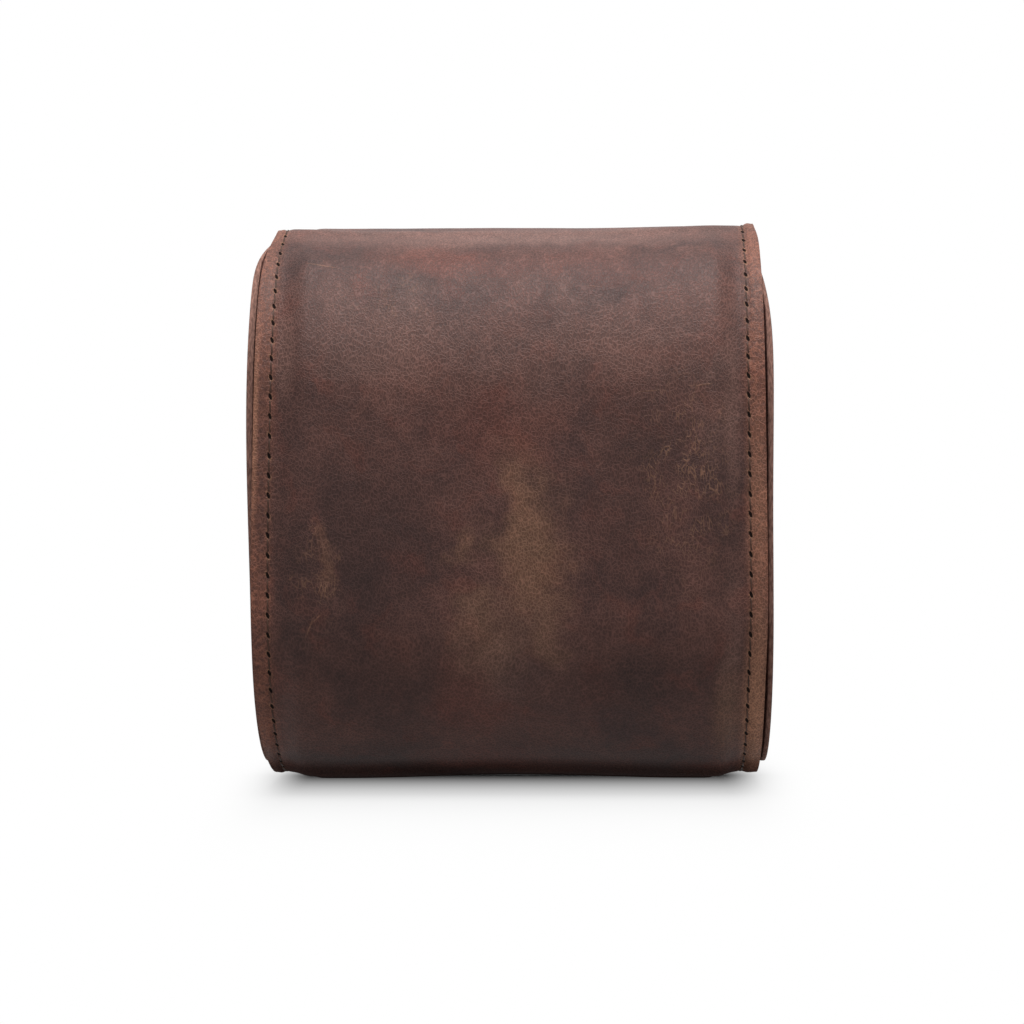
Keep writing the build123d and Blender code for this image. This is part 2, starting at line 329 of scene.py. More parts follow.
def crease_sag(x):
    """How far the leather sags below the sewn edges along the crease: least towards the right."""
    across = x / WRAP_HALF
    if across < 0:
        return MM * (1.05 - 0.5 * smooth((-0.6 - across) / 0.25) + 0.2 * smooth((-0.92 - across) / 0.06))
    return MM * (1.05 - 0.75 * smooth((across - 0.25) / 0.6) - 0.3 * smooth((across - 0.91) / 0.05))


def underside_lift(x, spot, out):
    """How far the padding is pressed up below: it rests on a strip each side of the middle of its depth."""
    away = smooth(abs(spot.y - 5 * MM) / (13 * MM))
    arched = 1 - smooth(abs(x) / (28 * MM))
    return MM * (1.3 * away + 0.55 * arched) * smooth((-out.z - 0.25) / 0.6)


def wrap_level(x, run, outline, sizes, lift):
    """Height of the leather's outer face above the straight sewn edge."""
    inset = abs(x) - (WRAP_HALF - sizes.seam_inset)
    across = smooth((-inset - 0.9 * MM) / (sizes.pad_slope - 0.9 * lift))
    level = (sizes.pad_rise * pad_fullness(run, outline) - lift) * across - 0.25 * lift * (1 - across)
    stitch = 0.5 + 0.5 * math.cos(2 * math.pi * run / sizes.stitch_pitch)
    level -= MM * (0.2 + 0.1 * stitch) * bell(inset, 0.6)
    level += MM * 0.1 * bell(inset - 1.4 * MM, 0.8)
    level -= crease_sag(x) * bell(run, CREASE_WIDTH)
    wide = noise.noise(Vector((x / (24 * MM), run / (19 * MM), 3.7)))
    near = noise.noise(Vector((x / (8 * MM), run / (6 * MM), 8.2)))
    return level + across * MM * (0.16 * wide + 0.05 * near)


def deselect():
    """Leaves object mode with nothing selected."""
    if bpy.context.object and bpy.context.object.mode != "OBJECT":
        bpy.ops.object.mode_set(mode="OBJECT")
    bpy.ops.object.select_all(action="DESELECT")


def new_piece(name):
    """Names the primitive just added, which is the active object."""
    piece = bpy.context.active_object
    piece.name = name
    piece.data.name = name
    return piece


def settle(piece):
    """Applies a piece's place, turn and scale to its mesh."""
    deselect()
    bpy.context.view_layer.objects.active = piece
    piece.select_set(True)
    bpy.ops.object.transform_apply(location=True, rotation=True, scale=True)


def finish_with(piece, kind, **settings):
    """Adds a modifier with its settings and applies it."""
    modifier = piece.modifiers.new(kind.title(), kind)
    for name, value in settings.items():
        setattr(modifier, name, value)
    bpy.context.view_layer.objects.active = piece
    bpy.ops.object.modifier_apply(modifier=modifier.name)


def round_edges(piece, radius, angle, segments=2, **extra):
    """Bevels the edges sharper than an angle."""
    limit = {"limit_method": "ANGLE", "angle_limit": math.radians(angle)}
    finish_with(piece, "BEVEL", width=radius, segments=segments, **limit, **extra)


def chosen(piece):
    """The vertices that edit mode left selected."""
    return [vertex for vertex in piece.data.vertices if vertex.select]


def hand_over(piece, slot, body, *nodes):
    """Lets a piece ride on a body and hides the CAD nodes that it stands for. The slot is not used."""
    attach(piece, body)
    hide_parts(*nodes)


def shade_smooth(piece, angle=40):
    """Smooth shading, with edges sharper than the angle left crisp."""
    deselect()
    bpy.context.view_layer.objects.active = piece
    piece.select_set(True)
    bpy.ops.object.shade_smooth_by_angle(angle=math.radians(angle))


def grid_piece(name, across, runs, place):
    """Grid wrapped onto a surface: place(x, run) gives each point. Its UVs are x and run in metres."""
    deselect()
    bpy.ops.mesh.primitive_grid_add(x_subdivisions=len(across) - 1, y_subdivisions=len(runs) - 1, size=1)
    piece = new_piece(name)
    mesh = piece.data
    spots = []
    for vertex in mesh.vertices:
        x = across[round((vertex.co.x + 0.5) * (len(across) - 1))]
        run = runs[round((vertex.co.y + 0.5) * (len(runs) - 1))]
        spots.append((x, run))
    frames = {run: place.frame(run) for run in runs}
    for vertex, (x, run) in zip(mesh.vertices, spots):
        vertex.co = place.point(x, run, frames[run])
    layer = mesh.uv_layers.active or mesh.uv_layers.new(name="UVMap")
    for loop in mesh.loops:
        layer.data[loop.index].uv = spots[loop.vertex_index]
    mesh.update()
    return piece


def face_outwards(piece):
    """Turns all faces outwards on a closed or open shell."""
    deselect()
    bpy.context.view_layer.objects.active = piece
    piece.select_set(True)
    bpy.ops.object.mode_set(mode="EDIT")
    bpy.ops.mesh.select_all(action="SELECT")
    bpy.ops.mesh.normals_make_consistent(inside=False)
    bpy.ops.object.mode_set(mode="OBJECT")


class WrapSurface:
    """The outer face of the padded leather."""

    def __init__(self, outline, sizes):
        """Keeps the outline and the sizes."""
        self.outline, self.sizes = outline, sizes

    def frame(self, run):
        """Place and outward direction in the middle of the wrap at a run."""
        return self.outline.at(run)

    def point(self, x, run, frame_here):
        """Point of the outer face, held above the floor."""
        spot, out = frame_here
        side = -1 if x < 0 else 1
        stray = seam_wander(side, spot.z, run) * smooth((abs(x) / WRAP_HALF - 0.7) / 0.2)
        inset = self.sizes.seam_inset
        stray -= corner_draw(side, run) * smooth((abs(x) - WRAP_HALF + inset) / inset)
        level = wrap_level(x, run, self.outline, self.sizes, underside_lift(x, spot, out))
        place = Vector((x + side * stray, 0, 0)) + spot + out * level
        place.z = max(0, place.z)
        return place


def evenly(first, last, spacing):
    """Values from first to last, about spacing apart."""
    count = max(1, round(abs(last - first) / spacing))
    return [first + (last - first) * step / count for step in range(count + 1)]


def across_places():
    """Places across the wrap, close together near the seams and wider between them."""
    strip = 6 * MM
    inner = WRAP_HALF - strip
    left = evenly(-WRAP_HALF, -inner, 0.42 * MM)
    middle = evenly(-inner, inner, 0.95 * MM)
    right = evenly(inner, WRAP_HALF, 0.42 * MM)
    return left + middle[1:-1] + right


def carry(piece, on_front):
    """Lets a piece ride on the body, or else bakes its place into its mesh if it reaches the lid."""
    if on_front:
        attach(piece, "body")
    else:
        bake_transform(piece)


def split_run(outline):
    """Run at which the wrap's two pieces meet under the bottom."""
    return sum(length for length, turn in outline.down[:3]) + outline.down[3][0] / 2 + BOTTOM_SEAM


# Materials


# Settings of a softened MapRange, a multiplying Math node and a Mix that lays one colour over another
SOFT = {"interpolation_type": "SMOOTHSTEP"}
TIMES = {"operation": "MULTIPLY"}
LAID = {"out": 2, "data_type": "RGBA"}


def feed(made, inputs):
    """Links or sets a node's inputs, given in their order or by socket."""
    for socket, value in inputs.items() if isinstance(inputs, dict) else enumerate(inputs):
        if isinstance(value, bpy.types.NodeSocket):
            made.id_data.links.new(value, made.inputs[socket])
        else:
            made.inputs[socket].default_value = value


def node(tree, kind, inputs=(), out=0, **settings):
    """Adds a node with its own settings and its inputs, and gives one of its outputs."""
    made = tree.nodes.new("ShaderNode" + kind)
    for name, value in settings.items():
        setattr(made, name, value)
    feed(made, inputs)
    return made.outputs[out] if made.outputs else made


def new_material(name, coordinates="Object"):
    """A Principled material, what adds nodes to it, its shader and its coordinates in millimetres."""
    material = bpy.data.materials.new(name)
    material.use_nodes = True
    material.node_tree.nodes.clear()
    add = partial(node, material.node_tree)
    shader = add("BsdfPrincipled").node
    add("OutputMaterial", (shader.outputs[0],))
    spot = add("VectorMath", {0: add("TexCoord", out=coordinates), 3: 1 / MM}, operation="SCALE")
    return material, add, shader, spot


# Clouds of the wrap: x and run of the middle, half width and half length in millimetres, tone, strength
CLOUDS = (
    # These three make one pale band across the whole width at runs 32 to 34: painted sheen of the overhead
    # light on the back's upper arc
    (-21, 32, 24, 13, "pale", 0.4),
    (20, 32, 24, 12, "pale", 0.35),
    (0, 34, 18, 12, "pale", 0.25),
    (-28, 12, 13, 8, "deep", 0.3),
    (-13, 15, 12, 8, "russet", 0.3),
    (17, 17, 18, 8, "russet", 0.25),
    (-2, 46, 16, 12, "russet", 0.3),
    (-25, 60, 15, 21, "deep", 0.55),
    (-14, 61, 8, 11, "deep", 0.3),
    (-35, 71, 5, 20, "deep", 0.4),
    (-24, 74, 13, 13, "deep", 0.4),
    (23, 49, 12, 13, "deep", 0.6),
    (19, 66, 14, 17, "deep", 0.3),
    (-3, 86, 7, 9, "pale", 0.4),
    (-4, 82, 9, 11, "tan", 0.45),
    # Pale band across the whole width at the crease: painted highlight where the top turns over
    (0, 3, 62, 9, "pale", 0.7),
    (35.5, 66, 5, 13, "deep", 0.4),
    # These three make one darker band across the width at runs 87 to 89: painted shade where the back turns
    # under
    (17, 87, 20, 11, "deep", 0.35),
    (-20, 89, 18, 11, "deep", 0.35),
    (34, 89, 6, 12, "deep", 0.25),
    (-7, 91, 9, 11, "russet", 0.4),
    (2, 56, 6, 13, "tan", 0.35),
    (3.5, 67, 10, 18, "tan", 0.5),
    (6, 79, 7, 9, "tan", 0.3),
    (-6, 76, 5, 6, "tan", 0.2),
    (-31.5, 68, 2.5, 8, "tan", 0.25),
    (34, 45, 7, 12, "pale", 0.3),
    # Dark band across the whole width at the bottom corner: painted shade under the case
    (0, 122, 80, 12, "deep", 0.7),
    (-30, 108, 9, 8, "deep", 0.4),
    (27, 108, 10, 8, "deep", 0.35),
    (-3, 108, 17, 7, "russet", 0.45),
    (-8, 16, 26, 6, "russet", 0.3),
    (-17, 24, 5, 5, "pale", 0.25),
    (10, 24, 5, 5, "pale", 0.25),
    (-23, 45, 6, 5, "deep", 0.25),
    (-32, 26, 4, 8, "deep", 0.25),
    (-7, 65, 4, 5, "tan", 0.3),
    (6.5, 82, 5, 6, "tan", 0.3),
    (35, 35, 4, 7, "pale", 0.3),
    (37.5, 86, 3, 8, "pale", 0.35),
    (0, 83, 20, 14, "pale", 0.25),
)

# Narrow clouds along the two edges, in the same terms
EDGE_CLOUDS = (
    (41.5, 60, 3, 28, "worn", 0.3),
    (41.6, 96, 3.6, 30, "worn", 0.85),
    (37.4, 42, 2.6, 26, "pale", 0.5),
    (37.4, 78, 2.6, 18, "pale", 0.25),
    (36.8, 95, 4.5, 17, "tan", 0.35),
    (-35.5, 30, 5, 18, "deep", 0.25),
    (-41.8, 20, 3, 7, "dark", 0.4),
    (-41.3, 48, 1.6, 40, "dark", 0.5),
    (-42.7, 45, 0.9, 28, "worn", 0.45),
    (-41.5, 114, 4, 16, "dark", 0.6),
    (-41.8, 98, 3, 6, "margin", 0.5),
    (-37.7, 34, 2.6, 12, "pale", 0.5),
    (41.5, 10, 3, 9, "margin", 0.4),
)

# Light scratches: x and run of the middle, half length, half width, degrees from across to down, strength
SCRATCHES = (
    (-32.3, 15.9, 4.4, 0.22, 13, 0.7),
    (32.5, 38.8, 2.8, 0.25, -8, 0.6),
    (23.5, 39.8, 3.6, 0.2, -4, 0.45),
    (-33.2, 78.9, 3, 0.22, 113, 0.6),
    (-32, 77.4, 1.8, 0.2, 135, 0.6),
    (-31.2, 73.5, 2.4, 0.2, 100, 0.45),
    (14, 21, 2, 0.18, 4, 0.4),
)

# Where the leather is wrinkled: x, run, half width, half length, strength
WRINKLES = (
    (30, 54, 13, 26, 1),
    (-32, 70, 5, 18, 0.8),
    (-20, 24, 14, 12, 0.4),
)


def patch(add, spot, centre, reach, strength, angle=0):
    """Soft oval patch, as strong as given in its middle."""
    place, turn = (*centre, 0), (0, 0, math.radians(angle))
    local = add("Mapping", (spot, place, turn, (*reach, 1)), vector_type="TEXTURE")
    away = add("VectorMath", (local,), "Value", operation="LENGTH")
    return add("MapRange", (away, 0, 1, strength, 0), interpolation_type="SMOOTHERSTEP")


def waxed_leather(colours, sizes, name="Waxed pull-up leather", coordinates="UV"):
    """Pull-up leather: waxed hide with a fine pebble, dark where wax has gathered, pale where it is worn; its
    ridges are partly painted highlight, and on the wrap some bands are painted sheen and painted shade.
    """
    material, add, shader, spot = new_material(name, coordinates)
    drift = add("TexNoise", {"Vector": spot, "Scale": 1 / 7, "Detail": 4}, "Color")
    centred = add("VectorMath", (drift, (0.5, 0.5, 0.5)), operation="SUBTRACT")
    swirl = add("VectorMath", (centred, (13, 13, 0), spot), operation="MULTIPLY_ADD")

    # Wax clouds a few centimetres wide, with smaller ones of about 3 mm in them
    clouds = add("TexNoise", {"Vector": swirl, "Scale": 1 / 15, "Detail": 5, "Roughness": 0.62})
    clouded = add("MapRange", (clouds, 0.28, 0.72), **SOFT)
    colour = add("Mix", {0: clouded, 6: (*colours.dark, 1), 7: (*colours.brown, 1)}, **LAID)
    redder = add("TexNoise", {"Vector": swirl, "Scale": 1 / 6, "Detail": 3})
    redder = add("MapRange", (redder, 0.5, 0.75, 0, 0.35), **SOFT)
    colour = add("Mix", {0: redder, 6: colour, 7: (*colours.russet, 1)}, **LAID)

    # Pebbled grain: cells of about 0.6 mm, a little longer down the case, with paler ridges round them. The
    # ridges' paleness is partly the leather's own colour and partly painted highlight, the grain lit from
    # above
    stretched = add("VectorMath", (spot, (1.2, 0.85, 1)), **TIMES)
    wobble = add("VectorMath", (centred, (3, 3, 0), stretched), operation="MULTIPLY_ADD")
    cells = add("TexVoronoi", {"Vector": wobble, "Scale": 1 / 0.58}, feature="DISTANCE_TO_EDGE")
    relief = add("MapRange", (cells, 0, 0.17, 1, 0), **SOFT)
    fine = add("TexNoise", {"Vector": spot, "Scale": 1 / 0.5, "Detail": 2})
    mottle = add("TexNoise", {"Vector": spot, "Scale": 1 / 2.6, "Detail": 3})
    roughness = 0.5
    if coordinates == "UV":
        colour, relief, roughness = wrap_marks(add, colours, sizes, (spot, swirl, wobble), colour, relief)
    tone = add("MapRange", (fine, 0.3, 0.7, 0.85, 1.15), **SOFT)
    # Partly painted highlight: the relief lightens the tone on its ridges and darkens it in its hollows
    for value, *reach in ((mottle, 0.3, 0.7, 0.9, 1.1), (relief, 0, 1, 0.86, 1.42)):
        tone = add("Math", (tone, add("MapRange", (value, *reach), **SOFT)), **TIMES)
    height = add("Math", (fine, 0.6, relief), operation="MULTIPLY_ADD")
    feed(
        shader,
        {
            "Base Color": add("VectorMath", {0: colour, 3: tone}, operation="SCALE"),
            "Normal": add("Bump", {"Height": height, "Strength": 0.6, "Distance": 0.05 * MM}),
            "Roughness": roughness,
            "Specular IOR Level": 0.18,
        },
    )
    return material


def flat_leather(colours, sizes):
    """The same hide on the end panels and the tab, without the wrap's own marks."""
    return waxed_leather(colours, sizes, "Waxed leather, flat", "Object")


def wrap_marks(add, colours, sizes, places, colour, ridge):
    """What shows on the wrap alone: clouds, some of them bands of painted sheen and painted shade, wrinkles,
    scratches, paler margins and needle holes darkened with painted shade.
    """
    spot, swirl, wobble = places
    # Clouds of colour; the bands among them across the whole width are painted sheen and painted shade
    for x, run, wide, long, tone, strength in CLOUDS:
        mask = patch(add, swirl, (x, run), (wide, long), strength)
        colour = add("Mix", {0: mask, 6: colour, 7: (*getattr(colours, tone), 1)}, **LAID)

    # Wrinkles: a net of fine pale lines about 1 mm apart, drawn out down the case
    drawn = add("VectorMath", (wobble, (1.3, 0.6, 1)), **TIMES)
    net = add("TexVoronoi", {"Vector": drawn, "Scale": 1 / 1.05}, feature="DISTANCE_TO_EDGE")
    where = 0
    for x, run, wide, long, strength in WRINKLES:
        mask = patch(add, swirl, (x, run), (wide, long), strength)
        where = add("Math", (where, mask), operation="MAXIMUM")
    broken = add("TexNoise", {"Vector": spot, "Scale": 1 / 3.2, "Detail": 2})
    where = add("Math", (where, add("MapRange", (broken, 0.42, 0.62), **SOFT)), **TIMES)
    wrinkle = add("Math", (add("MapRange", (net, 0.01, 0.1, 0.8, 0), **SOFT), where), **TIMES)
    for x, run, long, wide, angle, strength in SCRATCHES:
        mask = patch(add, spot, (x, run), (long, wide), strength, angle)
        wrinkle = add("Math", (wrinkle, mask), operation="MAXIMUM")
    lighter = add("Math", (wrinkle, 0.6), **TIMES)
    colour = add("Mix", {0: lighter, 6: colour, 7: (*colours.tan, 1)}, **LAID)

    # Margins: worn tan outside the seams, speckled where the wax is broken
    across_signed, down = add("SeparateXYZ", (spot,)).node.outputs[:2]
    across = add("Math", (across_signed,), operation="ABSOLUTE")
    seam = (WRAP_HALF - sizes.seam_inset) / MM
    worn = add("TexNoise", {"Vector": spot, "Scale": 1 / 0.8, "Detail": 4})
    along = add("TexNoise", {"Vector": spot, "Scale": 1 / 14, "Detail": 2})
    outside = add("MapRange", (across, seam - 1.6, seam + 1), **SOFT)
    outside = add("Math", (outside, add("MapRange", (worn, 0.36, 0.6, 0.35, 0.95), **SOFT)), **TIMES)
    outside = add("Math", (outside, add("MapRange", (along, 0.35, 0.6, 0.55, 1), **SOFT)), **TIMES)
    colour = add("Mix", {0: outside, 6: colour, 7: (*colours.margin, 1)}, **LAID)
    for x, run, wide, long, tone, strength in EDGE_CLOUDS:
        mask = patch(add, spot, (x, run), (wide, long), strength)
        colour = add("Mix", {0: mask, 6: colour, 7: (*getattr(colours, tone), 1)}, **LAID)

    # Needle holes: one slanted slit a stitch, worked out from the distance along the seam, darkened with
    # painted shade of the pit
    pitch = sizes.stitch_pitch / MM
    side = add("Math", (across_signed,), operation="SIGN")
    sideways = add("Math", (add("Math", (across, seam), operation="SUBTRACT"), side), **TIMES)
    count = add("Math", (down, pitch), operation="DIVIDE")
    nearest = add("Math", (count,), operation="ROUND")
    lengthways = add("Math", (add("Math", (count, nearest), operation="SUBTRACT"), pitch), **TIMES)
    joined = add("CombineXYZ", (sideways, lengthways))
    slit = (joined, (0, 0, 0), (0, 0, math.radians(-18)), (0.25, 0.58, 1))
    around = add("Mapping", slit, vector_type="TEXTURE")
    away = add("VectorMath", (around,), "Value", operation="LENGTH")
    frayed = add("MapRange", (away, 1, 2.1, 0.75, 0), **SOFT)
    frayed = add("Math", (frayed, add("MapRange", (worn, 0.4, 0.6), **SOFT)), **TIMES)
    colour = add("Mix", {0: frayed, 6: colour, 7: (*colours.tan, 1)}, **LAID)
    # Painted shade: the inside of each hole made dark, for the pit's shadow
    hole = add("MapRange", (away, 0.8, 1.15, 1, 0), **SOFT)
    colour = add("Mix", {0: hole, 6: colour, 7: (*colours.hole, 1)}, **LAID)
    raised = add("Math", (ridge, wrinkle), operation="ADD")
    relief = add("Math", (raised, add("Math", (hole, 4), **TIMES)), operation="SUBTRACT")

    # The underside is rubbed dull, from the bottom's back corner to its front one
    under = add("MapRange", (down, 104, 116), **SOFT)
    under = add("Math", (under, add("MapRange", (down, 142, 158, 1, 0), **SOFT)), **TIMES)
    dull = add("Math", (under, hole), operation="MAXIMUM")
    return colour, relief, add("MapRange", (dull, 0, 1, 0.5, 1), **SOFT)


def suede(colours):
    """Pigskin suede: a brushed split with a short nap that lies this way and that, matt with a soft sheen."""
    material, add, shader, spot = new_material("Suede")
    # Brushed streaks about 9 mm long, and fibres of 0.1 mm drawn at 0.35 mm so that they show
    streaks = add("VectorMath", (spot, (1, 1, 0.5)), **TIMES)
    brushed = add("TexNoise", {"Vector": streaks, "Scale": 1 / 9, "Detail": 4})
    fibres = add("TexNoise", {"Vector": spot, "Scale": 1 / 0.35, "Detail": 3, "Roughness": 0.7})
    paler = add("MapRange", (brushed, 0.35, 0.65, 0.84, 1.12), **SOFT)
    tone = add("Math", (paler, add("MapRange", (fibres, 0.3, 0.7, 0.72, 1.22), **SOFT)), **TIMES)
    feed(
        shader,
        {
            "Base Color": add("VectorMath", {0: colours.suede, 3: tone}, operation="SCALE"),
            "Normal": add("Bump", {"Height": fibres, "Strength": 0.6, "Distance": 0.1 * MM}),
            "Roughness": 0.95,
            "Specular IOR Level": 0.1,
            "Sheen Weight": 0.3,
            "Sheen Roughness": 0.6,
            "Sheen Tint": (*colours.suede, 1),
        },
    )
    return material


def bonded_thread(colours):
    """Bonded nylon thread: three twisted plies, waxed, so it has a dull gloss along the twist."""
    material, add, shader, spot = new_material("Bonded nylon thread")
    # The plies slant across the thread every 0.3 mm, whichever way the seam runs. A wave repeats every 1/20
    wave = {"Vector": spot, "Scale": 1 / 0.3 / 20, "Distortion": 0.4}
    plies = add("TexWave", wave, "Fac", bands_direction="DIAGONAL")
    tone = add("MapRange", (plies, 0, 1, 0.7, 1.15), **SOFT)
    feed(
        shader,
        {
            "Base Color": add("VectorMath", {0: colours.thread, 3: tone}, operation="SCALE"),
            "Normal": add("Bump", {"Height": plies, "Strength": 0.5, "Distance": 0.06 * MM}),
            "Roughness": 0.6,
            "Specular IOR Level": 0.25,
        },
    )
    return material


def edge_paint(colours):
    """Edge paint: a satin acrylic brushed on the cut edge in two coats, slightly rippled."""
    material, add, shader, spot = new_material("Painted leather edge")
    # Brush ripples about 1.4 mm wide
    ripples = add("TexNoise", {"Vector": spot, "Scale": 1 / 1.4, "Detail": 3})
    tone = add("MapRange", (ripples, 0.3, 0.7, 0.8, 1.4), **SOFT)
    feed(
        shader,
        {
            "Base Color": add("VectorMath", {0: colours.paint, 3: tone}, operation="SCALE"),
            "Normal": add("Bump", {"Height": ripples, "Strength": 0.5, "Distance": 0.08 * MM}),
            "Roughness": add("MapRange", (ripples, 0.3, 0.7, 0.5, 0.68), **SOFT),
            "Specular IOR Level": 0.2,
        },
    )
    return material


def nickel(colours):
    """Nickel plating, tumbled and electroplated over a sintered magnet: bright, with a faint haze."""
    material, add, shader, spot = new_material("Nickel plating")
    # Haze in patches of about 1.5 mm
    haze = add("TexNoise", {"Vector": spot, "Scale": 1 / 1.5, "Detail": 4})
    feed(
        shader,
        {
            "Base Color": (*colours.nickel, 1),
            "Metallic": 1,
            "Roughness": add("MapRange", (haze, 0.3, 0.7, 0.22, 0.38), **SOFT),
        },
    )
    return material


def grey_board(colours):
    """Bookbinder's grey board, pressed from pulp, its edge painted dark brown as on all sewn edges, dull."""
    material, add, shader, spot = new_material("Grey board, edge painted")
    # Flecks of pulp about 0.8 mm wide
    pulp = add("TexNoise", {"Vector": spot, "Scale": 1 / 0.8, "Detail": 4})
    tone = add("MapRange", (pulp, 0.3, 0.7, 0.8, 1.2), **SOFT)
    feed(
        shader,
        {"Base Color": add("VectorMath", {0: colours.dark, 3: tone}, operation="SCALE"), "Roughness": 0.8},
    )
    return material


def raw_edge(colours):
    """Raw edge of vegetable-tanned leather, cut with a knife: reddish brown, dull and slightly furry."""
    material, add, shader, spot = new_material("Raw leather edge")
    # Bundles of fibre about 1.1 mm long, a quarter as thick through the leather
    layers = add("VectorMath", (spot, (4, 1, 1)), **TIMES)
    fibres = add("TexNoise", {"Vector": layers, "Scale": 1 / 1.1, "Detail": 4})
    tone = add("MapRange", (fibres, 0.3, 0.7, 0.55, 1.25), **SOFT)
    feed(
        shader,
        {
            "Base Color": add("VectorMath", {0: colours.rim, 3: tone}, operation="SCALE"),
            "Normal": add("Bump", {"Height": fibres, "Strength": 0.7, "Distance": 0.12 * MM}),
            "Roughness": 0.8,
            "Specular IOR Level": 0.15,
        },
    )
    return material


# Materials already made, by the name of the function that made them
FINISHES = {}


def finish(make, *details):
    """A finish made once and shared: the material that an earlier piece was given, or a new one."""
    name = make.__name__
    if name not in FINISHES:
        FINISHES[name] = make(*details)
    return FINISHES[name]


def wear(piece, material):
    """Gives a piece one material."""
    piece.data.materials.clear()
    piece.data.materials.append(material)


class CASE_OT_wrap(bpy.types.Operator):
    """Models the padded leather wrap in two pieces that meet under the bottom"""

    bl_idname = "watch_case.wrap"
    bl_label = "Padded wrap"

    def execute(self, context):
        sizes, colours = context.scene.case_sizes, context.scene.leather_colours
        outline = Outline(sizes)
        surface = WrapSurface(outline, sizes)
        leather = waxed_leather(colours, sizes)
        paint = finish(edge_paint, colours)
        meeting = split_run(outline)
        back_runs = evenly(-outline.lid_length, meeting, 0.65 * MM)
        front_runs = evenly(meeting, outline.body_length, 0.65 * MM)
        for name, runs in (("wrap_back_and_lid", back_runs), ("wrap_front", front_runs)):
            piece = grid_piece(name, across_places(), runs, surface)
            face_outwards_open(piece, surface, runs)
            wear(piece, leather)
            piece.data.materials.append(paint)
            wall = {"thickness": sizes.leather, "offset": -1, "use_even_offset": True}
            finish_with(piece, "SOLIDIFY", **wall, material_offset_rim=1)
            round_edges(piece, sizes.rim_radius, 50, material=0)
            shade_smooth(piece)
            carry(piece, name == "wrap_front")
            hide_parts("body_leather", "lid_leather", "body_foam", "lid_foam")
        return {"FINISHED"}


def face_outwards_open(piece, surface, runs):
    """Flips an open sheet whose first face looks inwards."""
    middle = runs[len(runs) // 2]
    spot, out = surface.frame(middle)
    face = min(piece.data.polygons, key=lambda item: (item.center - spot).length)
    if face.normal.dot(out) < 0:
        piece.data.flip_normals()


def stitch_template(length, thickness):
    """One stitch along X, arched so that its ends dip into the leather: its points and its faces."""
    deselect()
    bpy.ops.mesh.primitive_cylinder_add(
        vertices=6, radius=thickness / 2, depth=length, rotation=SIDEWAYS, end_fill_type="NGON"
    )
    stitch = new_piece("stitch")
    settle(stitch)
    bpy.ops.object.mode_set(mode="EDIT")
    for share in (-0.3, -0.1, 0.1, 0.3):
        bpy.ops.mesh.select_all(action="SELECT")
        bpy.ops.mesh.bisect(plane_co=(share * length, 0, 0), plane_no=(1, 0, 0))
    bpy.ops.object.mode_set(mode="OBJECT")
    points = []
    for vertex in stitch.data.vertices:
        along = 2 * vertex.co.x / length
        narrow = 1 - 0.45 * along**4
        dip = thickness * along**4
        points.append(Vector((vertex.co.x, vertex.co.y * narrow, vertex.co.z * narrow - dip)))
    faces = [tuple(face.vertices) for face in stitch.data.polygons]
    bpy.data.objects.remove(stitch)
    return points, faces


def lay_stitches(name, spots, sizes, slant=4):
    """Copies of one stitch, joined into a piece. Spots are (place, direction along the seam, outward)."""
    points, faces = stitch_template(sizes.stitch_pitch * STITCH_SHOWN, sizes.thread)
    turned = Matrix.Rotation(math.radians(slant), 3, "Z")
    all_points, all_faces = [], []
    for place, along, out in spots:
        across = out.cross(along).normalized()
        frame_here = Matrix((along, across, along.cross(across))).transposed() @ turned
        first = len(all_points)
        all_points += [place + frame_here @ point for point in points]
        all_faces += [[first + corner for corner in face] for face in faces]
    mesh = bpy.data.meshes.new(name)
    mesh.from_pydata(all_points, [], all_faces)
    mesh.update()
    piece = bpy.data.objects.new(name, mesh)
    bpy.context.scene.collection.objects.link(piece)
    shade_smooth(piece, 60)
    return piece


